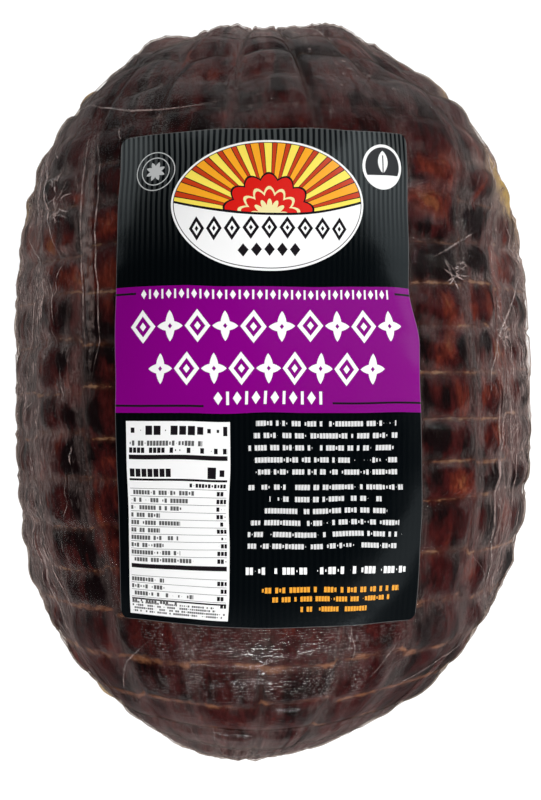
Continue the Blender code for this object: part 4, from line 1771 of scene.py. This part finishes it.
def print_small_rows(sheet, paper):
    """White and orange rows of dashes to the right of the panel."""

    def write(colour, left, right, top, **given):
        sheet.paint(sheet.dashes(left, right, top, **given), colour)

    small = {"height": 1.9, "step": 1.15}
    write(PRINT_WHITE, -8.5, 51.5, top=-14.8, pitch=4.4, rows=5, salt=31, ragged=0.35, **small)
    write(PRINT_WHITE, -8.5, 50.5, top=-38.0, pitch=4.35, rows=6, salt=32, ragged=0.30, **small)
    write(paper, -8.0, 52.0, top=-68.9, pitch=4.4, rows=1, height=2.7, salt=33, step=1.5)
    write(PRINT_ORANGE, -2.0, 49.5, top=-76.4, pitch=3.9, rows=1, height=2.1, salt=34, step=1.25)
    write(PRINT_ORANGE, 2.0, 46.0, top=-80.1, pitch=3.5, rows=1, height=1.9, salt=35, step=1.1)
    write(PRINT_ORANGE, 12.0, 37.0, top=-83.9, pitch=3.5, rows=1, height=1.9, salt=36, step=1.1)


def label_material(colours):
    """Glossy print on paper."""
    finish = Finish(bpy.data.materials.new("label_print"))
    sheet = Print(finish, colours.ground)
    stripe = finish.maths("PINGPONG", finish.times(sheet.x, 1 / PINSTRIPE_PITCH), 0.5)
    stripe = finish.fade(stripe, *PINSTRIPE_EDGES)
    strength = finish.fade(sheet.y, *PINSTRIPE_LEVELS, PINSTRIPE_FAINT, 1.0)
    sheet.paint(finish.times(stripe, strength), colours.pinstripe)
    print_badge(sheet, colours.paper)
    print_seals(sheet, colours.paper)
    print_band(sheet, colours)
    print_panel(sheet, colours.paper)
    print_small_rows(sheet, colours.paper)
    # The cut edge shows the clear top layer
    folded = finish.vector("ABSOLUTE", sheet.at)
    inward = finish.vector("SUBTRACT", (LABEL_WIDTH * 500, LABEL_LENGTH * 500, 0.0), folded)
    inward_x, inward_y = finish.split(inward)
    rim = finish.fade(finish.maths("MINIMUM", inward_x, inward_y), *RIM_WIDTHS, RIM_STRENGTH, 0.0)
    sheet.paint(rim, RIM_GREY)
    places = finish.places()
    relief = finish.bump(finish.noise(places, 60.0, detail=1.0), 0.0010, 0.35)
    relief = finish.bump(finish.noise(places, 900.0), 0.00005, 0.4, relief)
    shader = finish.node(
        "BsdfPrincipled",
        {
            "Base Color": sheet.colour,
            "Roughness": 0.16,
            "Specular IOR Level": 0.30,
            "Specular Tint": (0.82, 0.95, 1.0),
            "Normal": relief,
        },
    )
    return finish.end(shader)


# ---------------------------------------------------------------- the stage


def floor_material():
    """A plain pale floor that is nearly white under any lamp."""
    finish = Finish(bpy.data.materials.new("pale_floor"))
    shader = finish.node(
        "BsdfPrincipled",
        {
            "Base Color": (0.22, 0.22, 0.22),
            "Roughness": 0.7,
            "Specular IOR Level": 0.1,
            "Emission Color": (1.0, 1.0, 1.0),
            "Emission Strength": 0.90,
        },
    )
    return finish.end(shader)


def add_soft_light(name, azimuth, elevation, size, strength):
    """A soft panel that faces the ham from a direction. Only the fill light isn't mirrored in the film."""
    deselect_all()
    turn = math.radians(azimuth)
    rise = math.radians(elevation)
    place = (
        LAMP_DISTANCE * math.cos(rise) * math.cos(turn),
        LAMP_DISTANCE * math.cos(rise) * math.sin(turn),
        LAMP_DISTANCE * math.sin(rise),
    )
    facing = (math.pi / 2 - rise, 0, turn + math.pi / 2)
    bpy.ops.object.light_add(type="AREA", location=place, rotation=facing)
    light = bpy.context.object
    light.name = "light_" + name
    light.data.shape = "RECTANGLE"
    light.data.size, light.data.size_y = size
    light.data.energy = strength
    light.visible_camera = False
    light.visible_glossy = name != "fill"


def light_the_room():
    """A pale room, bright low down and dark above. On the left the dark comes down further."""
    room = Finish(bpy.data.worlds.new("room"))
    to_right, upwards = room.split(room.node("TexCoord"), parts=(0, 2))
    edge = room.fade(to_right, *ROOM_EDGE_TURN, *ROOM_EDGE_HEIGHT)
    over_edge = room.maths("SUBTRACT", upwards, edge)
    brightness = room.fade(over_edge, 0.0, ROOM_EDGE_SOFTNESS, ROOM_BRIGHT, ROOM_DARK)
    background = room.node("Background", {"Strength": brightness})
    bpy.context.scene.world = room.end(background, "ShaderNodeOutputWorld")


# ---------------------------------------------------------------- operators


class HAM_OT_stage(bpy.types.Operator):
    """Adds the floor, the lights and the camera"""

    bl_idname = "ham.stage"
    bl_label = "Stage"

    def execute(self, context):
        deselect_all()
        bpy.ops.mesh.primitive_plane_add(size=FLOOR_SIZE, location=(0, 0, 0))
        floor = start_piece("floor")
        floor.data.materials.append(floor_material())
        light_the_room()
        for lamp in LAMPS:
            add_soft_light(*lamp)
        deselect_all()
        bpy.ops.object.camera_add(location=EYE_PLACE, rotation=(0, 0, 0))
        eye = context.object
        eye.name = "camera"
        eye.data.lens = LENS
        eye.data.sensor_width = SENSOR
        eye.data.clip_start = NEAREST_SEEN
        context.scene.camera = eye
        context.scene.view_settings.view_transform = "Standard"
        return {"FINISHED"}


class HAM_OT_meat(bpy.types.Operator):
    """Adds the smoked meat that shows through the film"""

    bl_idname = "ham.meat"
    bl_label = "Meat"

    def execute(self, context):
        sizes = context.scene.ham_meat
        piece, columns, rows = add_skin("meat")
        places = skin_places(columns, rows, sizes.column_share, sizes.row_share)
        points = places[0]
        grain = soft_noise(points / GRAIN_LONG, GRAIN_DRAWS[0])
        grain = grain + GRAIN_SHORT_SHARE * soft_noise(points / GRAIN_SHORT, GRAIN_DRAWS[1])
        grain = (grain / (1 + GRAIN_SHORT_SHARE) - 1) / 2
        lift = lumps(points) - places[3] + sizes.grain_height * grain - sizes.clearance
        wrinkles = film_wrinkles(places, share_turned(columns, rows), context.scene.ham_film)
        lift += MEAT_UNDER_WRINKLES * wrinkles
        raised = raise_skin(places, lift) - FORM_MIDDLE
        raised[:, 2] = np.maximum(raised[:, 2], sizes.clearance)
        store_values(piece, "contact", contact_warmth(columns, rows))
        roll_up(piece, raised)
        smooth_all(piece)
        finish_piece(piece, meat_material(sizes), "wrapped_ham")
        return {"FINISHED"}


class HAM_OT_film(bpy.types.Operator):
    """Adds the clear film that is drawn on to the meat"""

    bl_idname = "ham.film"
    bl_label = "Film"

    def execute(self, context):
        sizes = context.scene.ham_film
        piece, columns, rows = add_skin("film")
        places, raised = film_skin(columns, rows, sizes)
        to_right = np.clip(places[0][..., 0] / (WIDTH / 2), *LESS_LOOSE_REACH)
        store_values(piece, "looseness", film_looseness(places) * (1 - LESS_LOOSE_RIGHT * to_right))
        store_values(piece, "amber", amber_share(columns, rows))
        store_values(piece, "weave_glints", weave_glint_share(columns, rows))
        contact = np.abs(contact_warmth(columns, rows))
        store_values(piece, "contact", np.clip(contact * CONTACT_CLEARNESS, 0, 1))
        roll_up(piece, raised)
        smooth_all(piece)
        finish_piece(piece, film_material(sizes), "wrapped_ham")
        return {"FINISHED"}


class HAM_OT_folds(bpy.types.Operator):
    """Adds the fine raised folds and crumples of the film"""

    bl_idname = "ham.folds"
    bl_label = "Folds"

    def execute(self, context):
        sizes = context.scene.ham_film
        draw = np.random.default_rng(FOLD_SEED)
        folds = [*MAIN_FOLDS, *side_folds(draw, sizes.folds), *crumple_folds(draw), *fan_folds(draw)]
        bar = add_fold_bar()
        straight = points_of(bar)
        made = []
        for fold in folds:
            copy = bpy.data.objects.new("fold", bar.data.copy())
            context.collection.objects.link(copy)
            points, shown = fold_shape(straight, fold, sizes)
            move_points(copy, points)
            store_values(copy, "shown", shown)
            made.append(copy)
        bpy.data.objects.remove(bar)
        deselect_all()
        for copy in made:
            copy.select_set(True)
        context.view_layer.objects.active = made[0]
        bpy.ops.object.join()
        piece = start_piece("film_folds")
        smooth_all(piece)
        finish_piece(piece, fold_material(sizes), "wrapped_ham")
        return {"FINISHED"}


class HAM_OT_label(bpy.types.Operator):
    """Adds the printed label, bent over the ham"""

    bl_idname = "ham.label"
    bl_label = "Label"

    def execute(self, context):
        deselect_all()
        bpy.ops.mesh.primitive_grid_add(
            x_subdivisions=LABEL_STEPS[0],
            y_subdivisions=LABEL_STEPS[1],
            size=1.0,
            calc_uvs=True,
            location=(0, 0, 0),
        )
        piece = start_piece("label_sheet")
        flat = round_corners(points_of(piece) * (LABEL_WIDTH, LABEL_LENGTH, 1.0))
        store_map(piece, flat[:, :2] / (LABEL_WIDTH, LABEL_LENGTH) + 0.5)
        wander = [LABEL_WAVE * soft_noise(flat / LABEL_WAVE_LENGTH, salt) for salt in LABEL_WAVE_DRAWS]
        flat[:, :2] += np.stack(wander, axis=1)
        move_points(piece, bend_label(flat[:, 0], flat[:, 1]))
        thickness = piece.modifiers.new("thickness", "SOLIDIFY")
        thickness.thickness = LABEL_THICKNESS
        thickness.offset = 1.0
        apply_modifier(piece, "thickness")
        deselect_all()
        piece.select_set(True)
        bpy.ops.object.shade_smooth_by_angle(angle=math.radians(LABEL_SHARP_ANGLE))
        finish_piece(piece, label_material(context.scene.ham_label), "label")
        return {"FINISHED"}


class HAM_PT_panel(bpy.types.Panel):
    """Lists the steps and their settings"""

    bl_idname = "HAM_PT_panel"
    bl_label = "Wrapped Ham"
    bl_space_type = "VIEW_3D"
    bl_region_type = "UI"
    bl_category = "Ham"

    def draw(self, context):
        for step in STEPS:
            self.layout.operator(step.bl_idname)
        for settings in (context.scene.ham_meat, context.scene.ham_film, context.scene.ham_label):
            box = self.layout.box()
            for name in settings.bl_rna.properties.keys():
                if name not in ("rna_type", "name"):
                    box.prop(settings, name)


STEPS = (HAM_OT_stage, HAM_OT_meat, HAM_OT_film, HAM_OT_folds, HAM_OT_label)
SETTINGS = {"ham_meat": HAM_PG_meat, "ham_film": HAM_PG_film, "ham_label": HAM_PG_label}


def register():
    """Adds the settings, the steps and the panel."""
    for name, settings in SETTINGS.items():
        bpy.utils.register_class(settings)
        setattr(bpy.types.Scene, name, PointerProperty(type=settings))
    for made in (*STEPS, HAM_PT_panel):
        bpy.utils.register_class(made)


def unregister():
    """Takes the panel, the steps and the settings away again."""
    for made in (HAM_PT_panel, *reversed(STEPS)):
        bpy.utils.unregister_class(made)
    for name, settings in SETTINGS.items():
        delattr(bpy.types.Scene, name)
        bpy.utils.unregister_class(settings)


def main():
    """Builds every piece."""
    register()
    bpy.ops.ham.stage()
    bpy.ops.ham.meat()
    bpy.ops.ham.film()
    bpy.ops.ham.folds()
    bpy.ops.ham.label()


if __name__ == "__main__":
    main()
